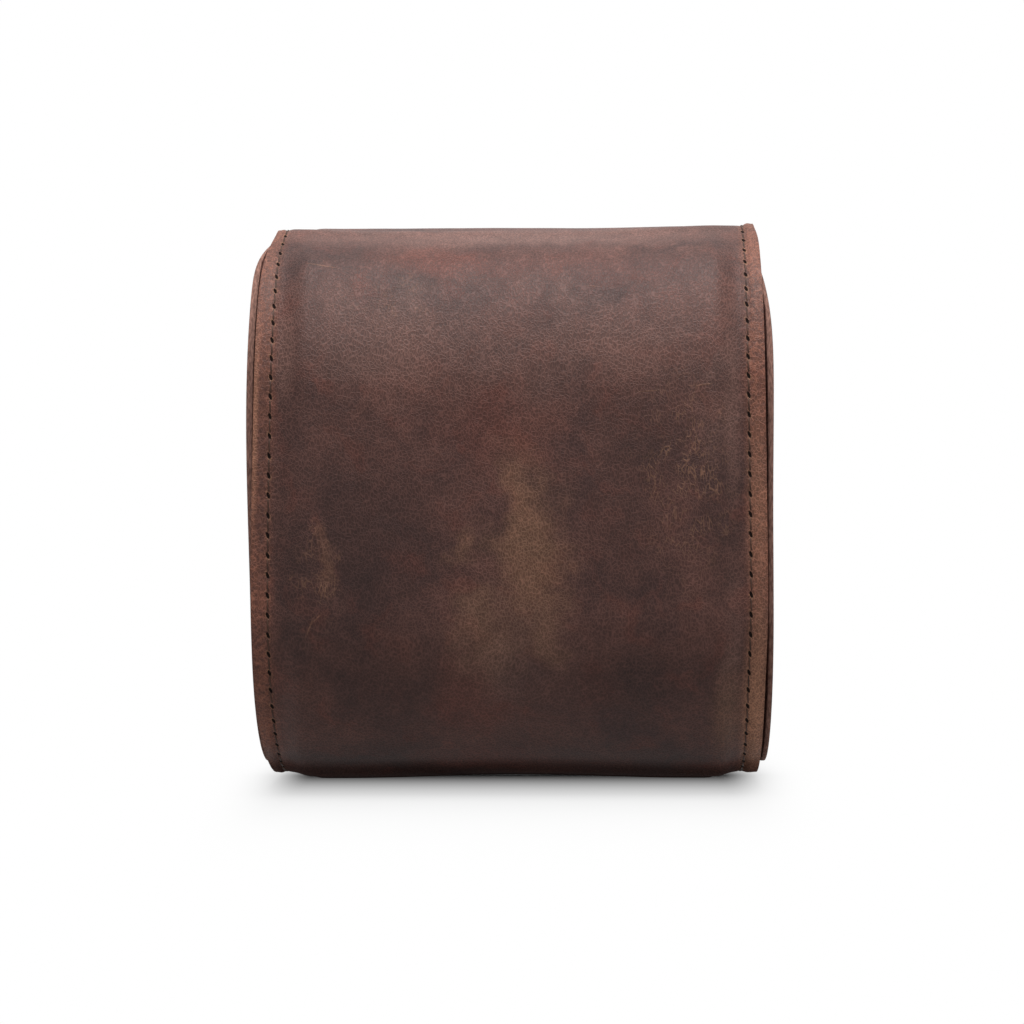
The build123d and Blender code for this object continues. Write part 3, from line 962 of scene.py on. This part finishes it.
class CASE_OT_seams(bpy.types.Operator):
    """Sews both edges of the wrap, the lid's edge and the front lip"""

    bl_idname = "watch_case.seams"
    bl_label = "Seams of the wrap"

    def execute(self, context):
        sizes, colours = context.scene.case_sizes, context.scene.leather_colours
        outline = Outline(sizes)
        surface = WrapSurface(outline, sizes)
        thread = finish(bonded_thread, colours)
        meeting = split_run(outline)
        pitch, seam = sizes.stitch_pitch, WRAP_HALF - sizes.seam_inset
        first = math.ceil((-outline.lid_length + sizes.seam_inset) / pitch)
        last = math.floor((outline.body_length - sizes.seam_inset) / pitch)
        back, front = [], []
        for number in range(first, last):
            run = (number + 0.5) * pitch
            for side in (-1, 1):
                spot = self.spot(surface, side * seam, run, sizes)
                (back if run < meeting else front).append(spot)
        across_count = round(2 * seam / pitch)
        for number in range(across_count):
            x = seam * (2 * (number + 0.5) / across_count - 1)
            back.append(self.cross_spot(surface, x, sizes.seam_inset - outline.lid_length, sizes))
            front.append(self.cross_spot(surface, x, outline.body_length - sizes.seam_inset, sizes))
        inside = LiningSurface(outline)
        for number in range(first, math.floor(-INNER_SEAM_START / pitch)):
            for side in (-1, 1):
                back.append(self.inner_spot(inside, side * seam, (number + 0.5) * pitch, sizes, False))
        for number in range(across_count):
            x = seam * (2 * (number + 0.5) / across_count - 1)
            back.append(self.inner_spot(inside, x, sizes.seam_inset - outline.lid_length, sizes, True))
            front.append(self.inner_spot(inside, x, outline.body_length - sizes.seam_inset, sizes, True))
        for name, spots in (("seams_back_and_lid", back), ("seams_front", front)):
            piece = lay_stitches(name, spots, sizes)
            wear(piece, thread)
            carry(piece, name == "seams_front")
        return {"FINISHED"}

    def spot(self, surface, x, run, sizes):
        """Place, direction and outward of a stitch along the wrap."""
        nearby = (run - STITCH_REACH, run + STITCH_REACH)
        ends = [surface.point(x, there, surface.frame(there)) for there in nearby]
        out = surface.frame(run)[1]
        middle = surface.point(x, run, surface.frame(run))
        return middle - out * sizes.thread * 0.05, (ends[1] - ends[0]).normalized(), out

    def inner_spot(self, inside, x, run, sizes, crosswise):
        """Place, direction and outward of a stitch where it comes out through the lining."""
        nearby = (run - STITCH_REACH, run + STITCH_REACH)
        ends = [inside.point(x, there, inside.frame(there)) for there in nearby]
        inward = -inside.frame(run)[1]
        along = Vector((1, 0, 0)) if crosswise else (ends[1] - ends[0]).normalized()
        return (ends[0] + ends[1]) / 2 + inward * sizes.thread * 0.2, along, inward

    def cross_spot(self, surface, x, run, sizes):
        """Place, direction and outward of a stitch across the wrap."""
        out = surface.frame(run)[1]
        middle = surface.point(x, run, surface.frame(run))
        return middle + out * sizes.thread * 0.25, Vector((1, 0, 0)), out


def panel_reach(side, height):
    """How far an end panel's outer face stands from the case's middle. Both lean in at the top and below."""
    if side > 0:
        lower = 0.35 * (1 - smooth((height - 45 * MM) / (30 * MM)))
        upper = 1.6 * max(0, min(1.1, (height - 72 * MM) / (18 * MM))) ** 2.8
    else:
        lower = 1.0 * (1 - smooth((height - 24 * MM) / (44 * MM)))
        upper = 1.6 * max(0, min(1.1, (height - 84 * MM) / (10.5 * MM))) ** 4
    return PANEL_HALF - MM * (lower + upper)


def panel_level(side, run):
    """Level of an end panel's rim below the sewn edge: lower at the crease, most so on the right."""
    return MM * (-2.3 - (1.3 if side > 0 else 0.7) * bell(run, 9))


class CASE_OT_end_panels(bpy.types.Operator):
    """Models the two flat end panels with their raw cut rims, and the boards behind them"""

    bl_idname = "watch_case.end_panels"
    bl_label = "End panels"

    def execute(self, context):
        sizes, colours = context.scene.case_sizes, context.scene.leather_colours
        outline = Outline(sizes)
        face_leather, raw = finish(flat_leather, colours, sizes), raw_edge(colours)
        board, nap = finish(grey_board, colours), finish(suede, colours)
        runs = evenly(0, outline.body_length, 1.2 * MM) + evenly(-outline.lid_length, 0, 1.2 * MM)[:-1]
        for side, hand in ((-1, "left"), (1, "right")):
            frames = [(*outline.at(run), panel_level(side, run)) for run in runs]
            piece = self.slab(hand + "_end_panel", side, frames, PANEL_STEP)
            self.extrude(side * PANEL_BACK)
            for vertex in chosen(piece):
                spot, out, level = min(
                    frames, key=lambda item: math.hypot(item[0].y - vertex.co.y, item[0].z - vertex.co.z)
                )
                vertex.co += out * PANEL_STEP
            self.extrude(side * (PANEL_LEATHER - PANEL_BACK))
            self.lean(piece, side)
            for share in (0.97, 0.9, 0.85, 0.8, 0.7, 0.5):
                self.ring(piece, share)
                self.lean(piece, side)
            self.complete(piece, 0.2 * MM, face_leather, "end_leather", hand + "_end_leather")
            piece.data.materials.append(raw)
            for face in piece.data.polygons:
                face.material_index = 0 if abs(face.normal.x) > 0.72 else 1

            low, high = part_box(hand + "_end_board")
            thickness = high.x - low.x
            backing = self.slab(hand + "_backing", side, frames, BOARD_INSET)
            self.extrude(-side * thickness)
            self.flatten(backing, (low if side > 0 else high).x)
            self.complete(backing, 0.2 * MM, board, "grey_board", hand + "_end_board")

            low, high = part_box(hand + "_end_lining")
            inside = self.slab(hand + "_end_suede", side, frames, SUEDE_INSET, WRAP_HALF - thickness)
            self.extrude(side * (low.x - high.x))
            for share, depth in ((0.95, 0.12), (0.88, 0.22)):
                self.ring(inside, share)
                self.flatten(inside, (low if side > 0 else high).x - side * depth * MM)
            self.complete(inside, 0.25 * MM, nap, "suede_lining", hand + "_end_lining")
        return {"FINISHED"}

    def slab(self, name, side, frames, inset, reach=None):
        """Face with an end panel's outline less an inset: flat at a reach, or else just behind the panel."""
        deselect()
        bpy.ops.mesh.primitive_circle_add(vertices=len(frames), fill_type="NGON")
        piece = new_piece(name)
        ordered = sorted(piece.data.vertices, key=lambda item: math.atan2(item.co.y, item.co.x))
        for vertex, (spot, out, level) in zip(ordered, frames):
            vertex.co = spot + out * (level - inset)
            behind = min(WRAP_HALF - 0.1 * MM, panel_reach(side, vertex.co.z) - PANEL_LEATHER)
            vertex.co.x = side * (reach or behind)
        piece.data.update()
        bpy.ops.object.mode_set(mode="EDIT")
        bpy.ops.mesh.select_all(action="SELECT")
        bpy.ops.object.mode_set(mode="OBJECT")
        return piece

    def complete(self, piece, radius, material, slot, replaced):
        """Rounds and dresses a slab, and puts it in its CAD node's place."""
        face_outwards(piece)
        round_edges(piece, radius, 60)
        wear(piece, material)
        shade_smooth(piece, 50)
        hand_over(piece, slot, "body", replaced)

    def lean(self, piece, side):
        """Sets the selected end face to the panel's leaning outer face."""
        for vertex in chosen(piece):
            vertex.co.x = side * panel_reach(side, vertex.co.z)

    def flatten(self, piece, x):
        """Sets the selected end face to one plane."""
        for vertex in chosen(piece):
            vertex.co.x = x

    def ring(self, piece, share):
        """Insets the selected end face and draws the new rim in towards its middle by a share."""
        bpy.ops.object.mode_set(mode="EDIT")
        bpy.ops.mesh.inset(thickness=0)
        bpy.ops.object.mode_set(mode="OBJECT")
        for vertex in chosen(piece):
            vertex.co.y *= share
            vertex.co.z = MIDDLE_HEIGHT + (vertex.co.z - MIDDLE_HEIGHT) * share

    def extrude(self, distance):
        """Extrudes the selected end face of the active piece along X."""
        bpy.ops.object.mode_set(mode="EDIT")
        bpy.ops.mesh.extrude_region_move(TRANSFORM_OT_translate={"value": (distance, 0, 0)})
        bpy.ops.object.mode_set(mode="OBJECT")


class LiningSurface:
    """The inner face of the suede lining, drawn over the boards."""

    def __init__(self, outline):
        """Keeps the outline."""
        self.outline = outline

    def frame(self, run):
        """Place and outward direction in the middle of the lining at a run."""
        return self.outline.at(run)

    def point(self, x, run, frame_here):
        """Point of the inner face: further in over the boards, and sagging at the crease with the leather."""
        spot, out = frame_here
        outline = self.outline
        step = 1.6 * MM
        if run >= 0:
            along = smooth((run - 6.2 * MM) / step) * smooth((outline.body_length - 3.2 * MM - run) / step)
        else:
            along = smooth((-run - 10.2 * MM) / step) * smooth((outline.lid_length - 3.2 * MM + run) / step)
        over = along * smooth((39.6 * MM - abs(x)) / step)
        side = -1 if x < 0 else 1
        edge = max(0, min(1, (abs(x) - 39.8 * MM) / (3.1 * MM)))
        stray = min(0, seam_wander(side, spot.z, run) - corner_draw(side, run) - 0.3 * MM) * edge
        sag = crease_sag(x) * bell(run, CREASE_WIDTH)
        return Vector((x + side * stray, 0, 0)) + spot - out * (LINING_DEPTH + BOARD_RISE * over + sag)


class CASE_OT_lining(bpy.types.Operator):
    """Models the suede lining and dresses what lies under it"""

    bl_idname = "watch_case.lining"
    bl_label = "Lining"

    def execute(self, context):
        sizes, colours = context.scene.case_sizes, context.scene.leather_colours
        outline = Outline(sizes)
        surface = LiningSurface(outline)
        nap = finish(suede, colours)
        meeting = split_run(outline)
        inner = WRAP_HALF - 4 * MM
        across = evenly(-WRAP_HALF + 0.1 * MM, -inner + 2 * MM, 0.5 * MM)
        across += evenly(-inner + 2.5 * MM, inner - 2.5 * MM, 2 * MM)
        across += evenly(inner - 2 * MM, WRAP_HALF - 0.1 * MM, 0.5 * MM)
        back_runs = evenly(-outline.lid_length + 0.1 * MM, meeting, 0.8 * MM)
        front_runs = evenly(meeting, outline.body_length - 0.1 * MM, 0.8 * MM)
        for name, runs in (("lining_back_and_lid", back_runs), ("lining_front", front_runs)):
            piece = grid_piece(name, across, runs, surface)
            face_outwards_open(piece, surface, runs)
            piece.data.flip_normals()
            finish_with(piece, "SOLIDIFY", thickness=LINING, offset=-1, use_even_offset=True)
            shade_smooth(piece)
            wear(piece, nap)
            carry(piece, name == "lining_front")
            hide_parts("body_lining", "lid_lining")
        hidden = (("_board", finish(grey_board, colours)), ("_magnet", finish(nickel, colours)))
        for ending, material in hidden:
            for node_name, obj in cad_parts.items():
                if node_name.endswith(ending):
                    for slot in obj.material_slots:
                        slot.material = material
        return {"FINISHED"}


class TabSurface:
    """The outer face of the closing tab. Its x is squeezed where the ends are rounded."""

    def __init__(self, outline, tab):
        """Keeps the outline and the tab's sizes, and finds the runs of its two ends."""
        self.outline, self.tab = outline, tab
        self.first = self.run_at(tab.tip)
        self.last = self.run_at(tab.top)

    def run_at(self, height):
        """Run up the front at which the outline reaches a height."""
        low = sum(length for length, turn in self.outline.down[:4])
        high = self.outline.body_length + 40 * MM
        for halving in range(40):
            middle = (low + high) / 2
            if self.outline.sharp(middle)[1] < height:
                low = middle
            else:
                high = middle
        return low

    def half(self, run):
        """Half width of the tab at a run, from its rounded corners."""
        tab = self.tab
        half = tab.width / 2
        for near, radius in ((run - self.first, tab.tip_radius), (self.last - run, tab.top_radius)):
            if near < radius:
                half = min(half, tab.width / 2 - radius + math.sqrt(max(0, radius**2 - (radius - near) ** 2)))
        return max(half, 0.4 * MM)

    def frame(self, run):
        """Place and outward direction in the middle of the tab at a run."""
        y, z, out_y, out_z = self.outline.sharp(run)
        return Vector((0, y, z)), Vector((0, out_y, out_z))

    def point(self, x, run, frame_here):
        """Point of the outer face. x is a share of the tab's half width."""
        spot, out = frame_here
        tab = self.tab
        half = self.half(run)
        edge = min((1 - abs(x)) * half, run - self.first, self.last - run)
        level = tab.level - 0.18 * MM * bell(edge - tab.seam_inset, 0.6)
        magnet = math.hypot(x * half, spot.z - MAGNET_HEIGHT)
        level += 0.15 * MM * smooth((6.5 * MM - magnet) / (2 * MM))
        return Vector((x * half, 0, 0)) + spot + out * level


class CASE_OT_tab(bpy.types.Operator):
    """Models the closing tab, sewn to the lid and hanging over the front lip"""

    bl_idname = "watch_case.tab"
    bl_label = "Closing tab"

    def execute(self, context):
        scene = context.scene
        sizes, tab, colours = scene.case_sizes, scene.tab_sizes, scene.leather_colours
        outline = Outline(sizes)
        surface = TabSurface(outline, tab)
        runs = evenly(surface.first + 0.02 * MM, surface.first + 6 * MM, 0.3 * MM)
        runs += evenly(surface.first + 6.6 * MM, surface.last - 4.6 * MM, 0.6 * MM)
        runs += evenly(surface.last - 4 * MM, surface.last - 0.02 * MM, 0.3 * MM)
        shares = [math.sin(math.radians(angle)) for angle in evenly(-90, 90, 4)]
        piece = grid_piece("closing_tab", shares, runs, surface)
        face_outwards_open(piece, surface, runs)
        wear(piece, finish(flat_leather, colours, sizes))
        piece.data.materials.append(finish(edge_paint, colours))
        wall = {"thickness": tab.thickness, "offset": -1, "use_even_offset": True}
        finish_with(piece, "SOLIDIFY", **wall, material_offset_rim=1)
        round_edges(piece, 0.3 * MM, 50, material=0)
        shade_smooth(piece)
        seam = lay_stitches("tab_seam", self.seam_spots(surface, tab, sizes), sizes)
        wear(seam, finish(bonded_thread, colours))
        for item in (piece, seam):
            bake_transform(item)
        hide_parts("tab_root", "tab_leather", "tab_lining")
        return {"FINISHED"}

    def seam_spots(self, surface, tab, sizes):
        """Stitches all round the tab, one inset inside its edge."""
        inset = tab.seam_inset
        half = tab.width / 2 - inset
        corners = []
        for run, radius, turn in (
            (surface.first + inset, tab.tip_radius - inset, 1),
            (surface.last - inset, tab.top_radius - inset, -1),
        ):
            arc = []
            for angle in range(0, 91, 6):
                x = half - radius + radius * math.sin(math.radians(angle))
                arc.append((x, run + turn * radius * (1 - math.cos(math.radians(angle)))))
            corners.append(arc)
        right = corners[0] + corners[1][::-1]
        path = right + [(-x, run) for x, run in reversed(right)]
        path.append(path[0])
        spots, left = [], sizes.stitch_pitch / 2
        for (x0, run0), (x1, run1) in zip(path, path[1:]):
            length = math.hypot(x1 - x0, run1 - run0)
            while left < length:
                share = left / length
                x, run = x0 + (x1 - x0) * share, run0 + (run1 - run0) * share
                spot, out = surface.frame(run)
                up = Vector((1, 0, 0)).cross(out)
                along = (Vector(((x1 - x0), 0, 0)) - up * (run1 - run0)).normalized()
                spots.append((Vector((x, 0, 0)) + spot + out * (tab.level - 0.1 * MM), along, out))
                left += sizes.stitch_pitch
            left -= length
        return spots


class CASE_OT_pillow(bpy.types.Operator):
    """Blows up the watch pillow's suede cushion and closes its ends with patches"""

    bl_idname = "watch_case.pillow"
    bl_label = "Watch pillow"

    def execute(self, context):
        scene = context.scene
        pillow, sizes, colours = scene.pillow_sizes, scene.case_sizes, scene.leather_colours
        low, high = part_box("pillow_cover")
        middle, half = (low + high) / 2, (high - low) / 2
        nap = finish(suede, colours)
        deselect()
        bpy.ops.mesh.primitive_cylinder_add(
            vertices=64, radius=1, depth=2, location=middle, rotation=SIDEWAYS, end_fill_type="NGON"
        )
        piece = new_piece("pillow_cushion")
        settle(piece)
        bpy.ops.object.mode_set(mode="EDIT")
        for share in (-0.9, -0.75, -0.5, -0.25, 0, 0.25, 0.5, 0.75, 0.9):
            bpy.ops.mesh.select_all(action="SELECT")
            bpy.ops.mesh.bisect(plane_co=(middle.x + share, 0, 0), plane_no=(1, 0, 0))
        bpy.ops.object.mode_set(mode="OBJECT")
        for vertex in piece.data.vertices:
            share = vertex.co.x - middle.x
            drawn = 1 - 0.19 * max(0, abs(share) - 0.72) / 0.28
            vertex.co.x = middle.x + share * (half.x - pillow.slack / 2)
            vertex.co.y = middle.y + (vertex.co.y - middle.y) * (half.y - pillow.slack) * drawn
            vertex.co.z = middle.z + (vertex.co.z - middle.z) * (half.z - pillow.slack) * drawn
        finish_with(piece, "REMESH", mode="VOXEL", voxel_size=pillow.voxel)
        self.blow_up(context, piece, pillow)
        finish_with(piece, "SUBSURF", levels=1, render_levels=1)
        self.pucker(piece, middle, half)
        shade_smooth(piece)
        wear(piece, nap)
        hand_over(piece, "pillow_suede", "pillow", "pillow_core", "pillow_cover")
        for side, hand in ((-1, "left"), (1, "right")):
            closing, rim = self.end_patch(side, hand, pillow, sizes)
            wear(closing, nap)
            hand_over(closing, "pillow_patch", "pillow", "pillow_" + hand + "_patch")
            seam = lay_stitches("pillow_" + hand + "_seam", rim, sizes)
            wear(seam, finish(bonded_thread, colours))
            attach(seam, "pillow")
        return {"FINISHED"}

    def pucker(self, piece, middle, half):
        """Gathers the cover into small folds round both end seams, and draws it in along its seam below."""
        for vertex in piece.data.vertices:
            share = abs(vertex.co.x - middle.x) / half.x
            arm = vertex.co - Vector((vertex.co.x, middle.y, middle.z))
            angle = math.atan2(arm.z, arm.y)
            near_end = smooth((share - 0.62) / 0.3)
            fold = math.cos(26 * angle + 1.5 * noise.noise(Vector((3 * angle, 2, 5))))
            around = (2.2 * math.cos(angle), 2.2 * math.sin(angle))
            slow = noise.noise(Vector((vertex.co.x / (13 * MM), *around)))
            drawn = 0.28 * near_end * (0.5 - 0.5 * fold) + 0.35 * max(0, slow)
            sewn = abs(angle + math.pi / 2) * arm.length
            drawn += 0.55 * bell(sewn, 1.1) * smooth((0.97 - share) / 0.06)
            vertex.co -= arm.normalized() * drawn * MM

    def end_patch(self, side, hand, pillow, sizes):
        """Oval suede patch over one end, its edge rounded over, and the places of the stitches round it."""
        low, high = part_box("pillow_" + hand + "_patch")
        middle, half = (low + high) / 2, (high - low) / 2
        inner_face = (low if side > 0 else high).x - side * 0.5 * MM
        deselect()
        place = (inner_face, middle.y, middle.z)
        bpy.ops.mesh.primitive_circle_add(
            vertices=72, radius=1, location=place, rotation=SIDEWAYS, fill_type="NGON"
        )
        piece = new_piece("pillow_" + hand + "_end")
        settle(piece)
        for vertex in piece.data.vertices:
            vertex.co.y = middle.y + (vertex.co.y - middle.y) * (half.y - 0.2 * MM)
            vertex.co.z = middle.z + (vertex.co.z - middle.z) * (half.z - 0.2 * MM)
        bpy.ops.object.mode_set(mode="EDIT")
        bpy.ops.mesh.select_all(action="SELECT")
        outwards = side * (pillow.patch_thickness + 0.3 * MM)
        bpy.ops.mesh.extrude_region_move(TRANSFORM_OT_translate={"value": (outwards, 0, 0)})
        for thickness, rise in ((0.5, 0.2), (1.2, -0.14), (0.6, -0.06), (1, 0.16), (4, 0.3), (5, 0.15)):
            bpy.ops.mesh.inset(thickness=thickness * MM, depth=rise * MM)
        bpy.ops.object.mode_set(mode="OBJECT")
        face_outwards(piece)
        round_edges(piece, 0.35 * MM, 60, segments=3)
        shade_smooth(piece, 50)
        level = inner_face + side * (pillow.patch_thickness + 0.32 * MM)
        inset = 2.1 * MM
        reach_y, reach_z = half.y - inset, half.z - inset
        count = round(math.pi * (reach_y + reach_z) / sizes.stitch_pitch)
        spots = []
        for number in range(count):
            angle = 2 * math.pi * number / count
            y, z = middle.y + reach_y * math.cos(angle), middle.z + reach_z * math.sin(angle)
            along = Vector((0, -reach_y * math.sin(angle), reach_z * math.cos(angle))).normalized()
            spots.append((Vector((level, y, z)), along, Vector((side, 0, 0))))
        return piece, spots

    def blow_up(self, context, piece, pillow):
        """Fills the cushion by cloth simulation and keeps each point within its swell."""
        start = [vertex.co.copy() for vertex in piece.data.vertices]
        cloth = piece.modifiers.new("Cloth", "CLOTH")
        cloth.settings.use_pressure = True
        cloth.settings.uniform_pressure_force = pillow.pressure
        cloth.settings.effector_weights.gravity = 0
        for number in range(1, 21):
            context.scene.frame_set(number)
        context.view_layer.objects.active = piece
        bpy.ops.object.modifier_apply(modifier=cloth.name)
        context.scene.frame_set(1)
        for vertex, was in zip(piece.data.vertices, start):
            moved = vertex.co - was
            if moved.length > pillow.swell:
                vertex.co = was + moved.normalized() * pillow.swell


class CASE_OT_stage(bpy.types.Operator):
    """Sets the floor, the soft light and the camera"""

    bl_idname = "watch_case.stage"
    bl_label = "Stage"

    def execute(self, context):
        scene, stage = context.scene, context.scene.stage_settings
        scene.view_settings.view_transform = "Standard"
        self.floor(stage)
        self.surroundings(scene, stage)
        self.softbox("Overhead softbox", (0.8, 0.6), (0.05, -stage.key_place, 1.2), stage.key_power)
        self.softbox("Softbox above the camera", (1.2, 0.5), (0.15, -0.75, 0.75), stage.front_power)
        camera = bpy.data.cameras.new("Photo camera")
        camera.lens = stage.lens
        camera.sensor_width = 36
        camera.shift_x = -0.0025
        viewer = bpy.data.objects.new("Photo camera", camera)
        scene.collection.objects.link(viewer)
        place = Matrix.Rotation(stage.yaw, 4, "Z")
        viewer.matrix_world = (
            place
            @ Matrix.Translation((0, -stage.distance, stage.height))
            @ Matrix.Rotation(math.pi / 2, 4, "X")
            @ Matrix.Rotation(stage.roll, 4, "Z")
        )
        scene.camera = viewer
        return {"FINISHED"}

    def seen_directly(self, add):
        """1 where the eye, a mirror or glass sees the backdrop, and 0 where it only lights."""
        rays = add("LightPath").node.outputs
        either = add("Math", (rays["Is Camera Ray"], rays["Is Glossy Ray"]), operation="ADD")
        return add("Math", (either, rays["Is Transmission Ray"]), operation="ADD", use_clamp=True)

    def floor(self, stage):
        """Pale floor that keeps the shadow near the case and is seen as plain white further off."""
        deselect()
        bpy.ops.mesh.primitive_plane_add(size=6)
        floor = new_piece("floor")
        material, add, shader, spot = new_material("Matt white paint")
        # What is left of the paint falls off from 8 mm in front of the case's middle, slowest sideways
        centred = add("VectorMath", (spot, (0, 8, 0)), operation="SUBTRACT")
        beyond = add("VectorMath", (centred,), operation="ABSOLUTE")
        aside, ahead = add("SeparateXYZ", (beyond,)).node.outputs[:2]
        aside = add("Math", (add("MapRange", (aside, 36.5, 71.5, 0, 5)), 2), operation="POWER")
        ahead = add("Math", (add("Math", (ahead, 31), operation="DIVIDE"), 1.25), operation="POWER")
        left = add("Math", (math.exp(-1), add("Math", (aside, ahead), operation="ADD")), operation="POWER")
        faded = add("Math", (1, left), operation="SUBTRACT")
        faded = add("Math", (faded, self.seen_directly(add)), **TIMES)
        paint = (*[stage.floor_bounce] * 3, 1)
        feed(shader, {"Base Color": paint, "Roughness": 0.9, "Specular IOR Level": 0.1})
        white = add("Emission", {"Color": (1, 1, 1, 1), "Strength": 1})
        mixed = add("MixShader", (faded, shader.outputs[0], white))
        feed(material.node_tree.nodes["Material Output"], (mixed,))
        wear(floor, material)

    def surroundings(self, scene, stage):
        """Even light from all round, seen as plain white."""
        world = bpy.data.worlds.new("Soft studio")
        scene.world = world
        world.use_nodes = True
        world.node_tree.nodes.clear()
        add = partial(node, world.node_tree)
        strength = add("MapRange", (self.seen_directly(add), 0, 1, stage.world_strength, 1))
        add("OutputWorld", (add("Background", {"Color": (1, 1, 1, 1), "Strength": strength}),))

    def softbox(self, name, size, place, power):
        """Wide soft light that looks at the case."""
        light = bpy.data.lights.new(name, "AREA")
        light.energy = power
        light.shape = "RECTANGLE"
        light.size, light.size_y = size
        lamp = bpy.data.objects.new(name, light)
        lamp.location = place
        lamp.rotation_euler = (Vector((0, 0, 0.05)) - lamp.location).to_track_quat("-Z", "Y").to_euler()
        bpy.context.scene.collection.objects.link(lamp)


OPERATORS = (
    CASE_OT_stage,
    CASE_OT_wrap,
    CASE_OT_seams,
    CASE_OT_end_panels,
    CASE_OT_lining,
    CASE_OT_tab,
    CASE_OT_pillow,
)
GROUPS = (
    ("case_sizes", CaseSizes),
    ("tab_sizes", TabSizes),
    ("pillow_sizes", PillowSizes),
    ("leather_colours", LeatherColours),
    ("stage_settings", StageSettings),
)


class CASE_PT_panel(bpy.types.Panel):
    """Lists the case's sizes and steps"""

    bl_idname = "CASE_PT_panel"
    bl_label = "Watch case"
    bl_space_type = "VIEW_3D"
    bl_region_type = "UI"
    bl_category = "Watch case"

    def draw(self, context):
        """Draws every size and colour, and a button for each step."""
        for name, group in GROUPS:
            box = self.layout.box()
            for key in group.__annotations__:
                box.prop(getattr(context.scene, name), key)
        for operator in OPERATORS:
            self.layout.operator(operator.bl_idname)


def register():
    """Adds the settings, the operators and the panel."""
    for name, group in GROUPS:
        bpy.utils.register_class(group)
        setattr(bpy.types.Scene, name, PointerProperty(type=group))
    for item in (*OPERATORS, CASE_PT_panel):
        bpy.utils.register_class(item)


def unregister():
    """Takes them away again."""
    for item in (CASE_PT_panel, *reversed(OPERATORS)):
        bpy.utils.unregister_class(item)
    for name, group in reversed(GROUPS):
        delattr(bpy.types.Scene, name)
        bpy.utils.unregister_class(group)


def main():
    """Builds the whole case and its stage."""
    register()
    bpy.ops.watch_case.stage()
    bpy.ops.watch_case.wrap()
    bpy.ops.watch_case.seams()
    bpy.ops.watch_case.end_panels()
    bpy.ops.watch_case.lining()
    bpy.ops.watch_case.tab()
    bpy.ops.watch_case.pillow()


if __name__ == "__main__":
    main()
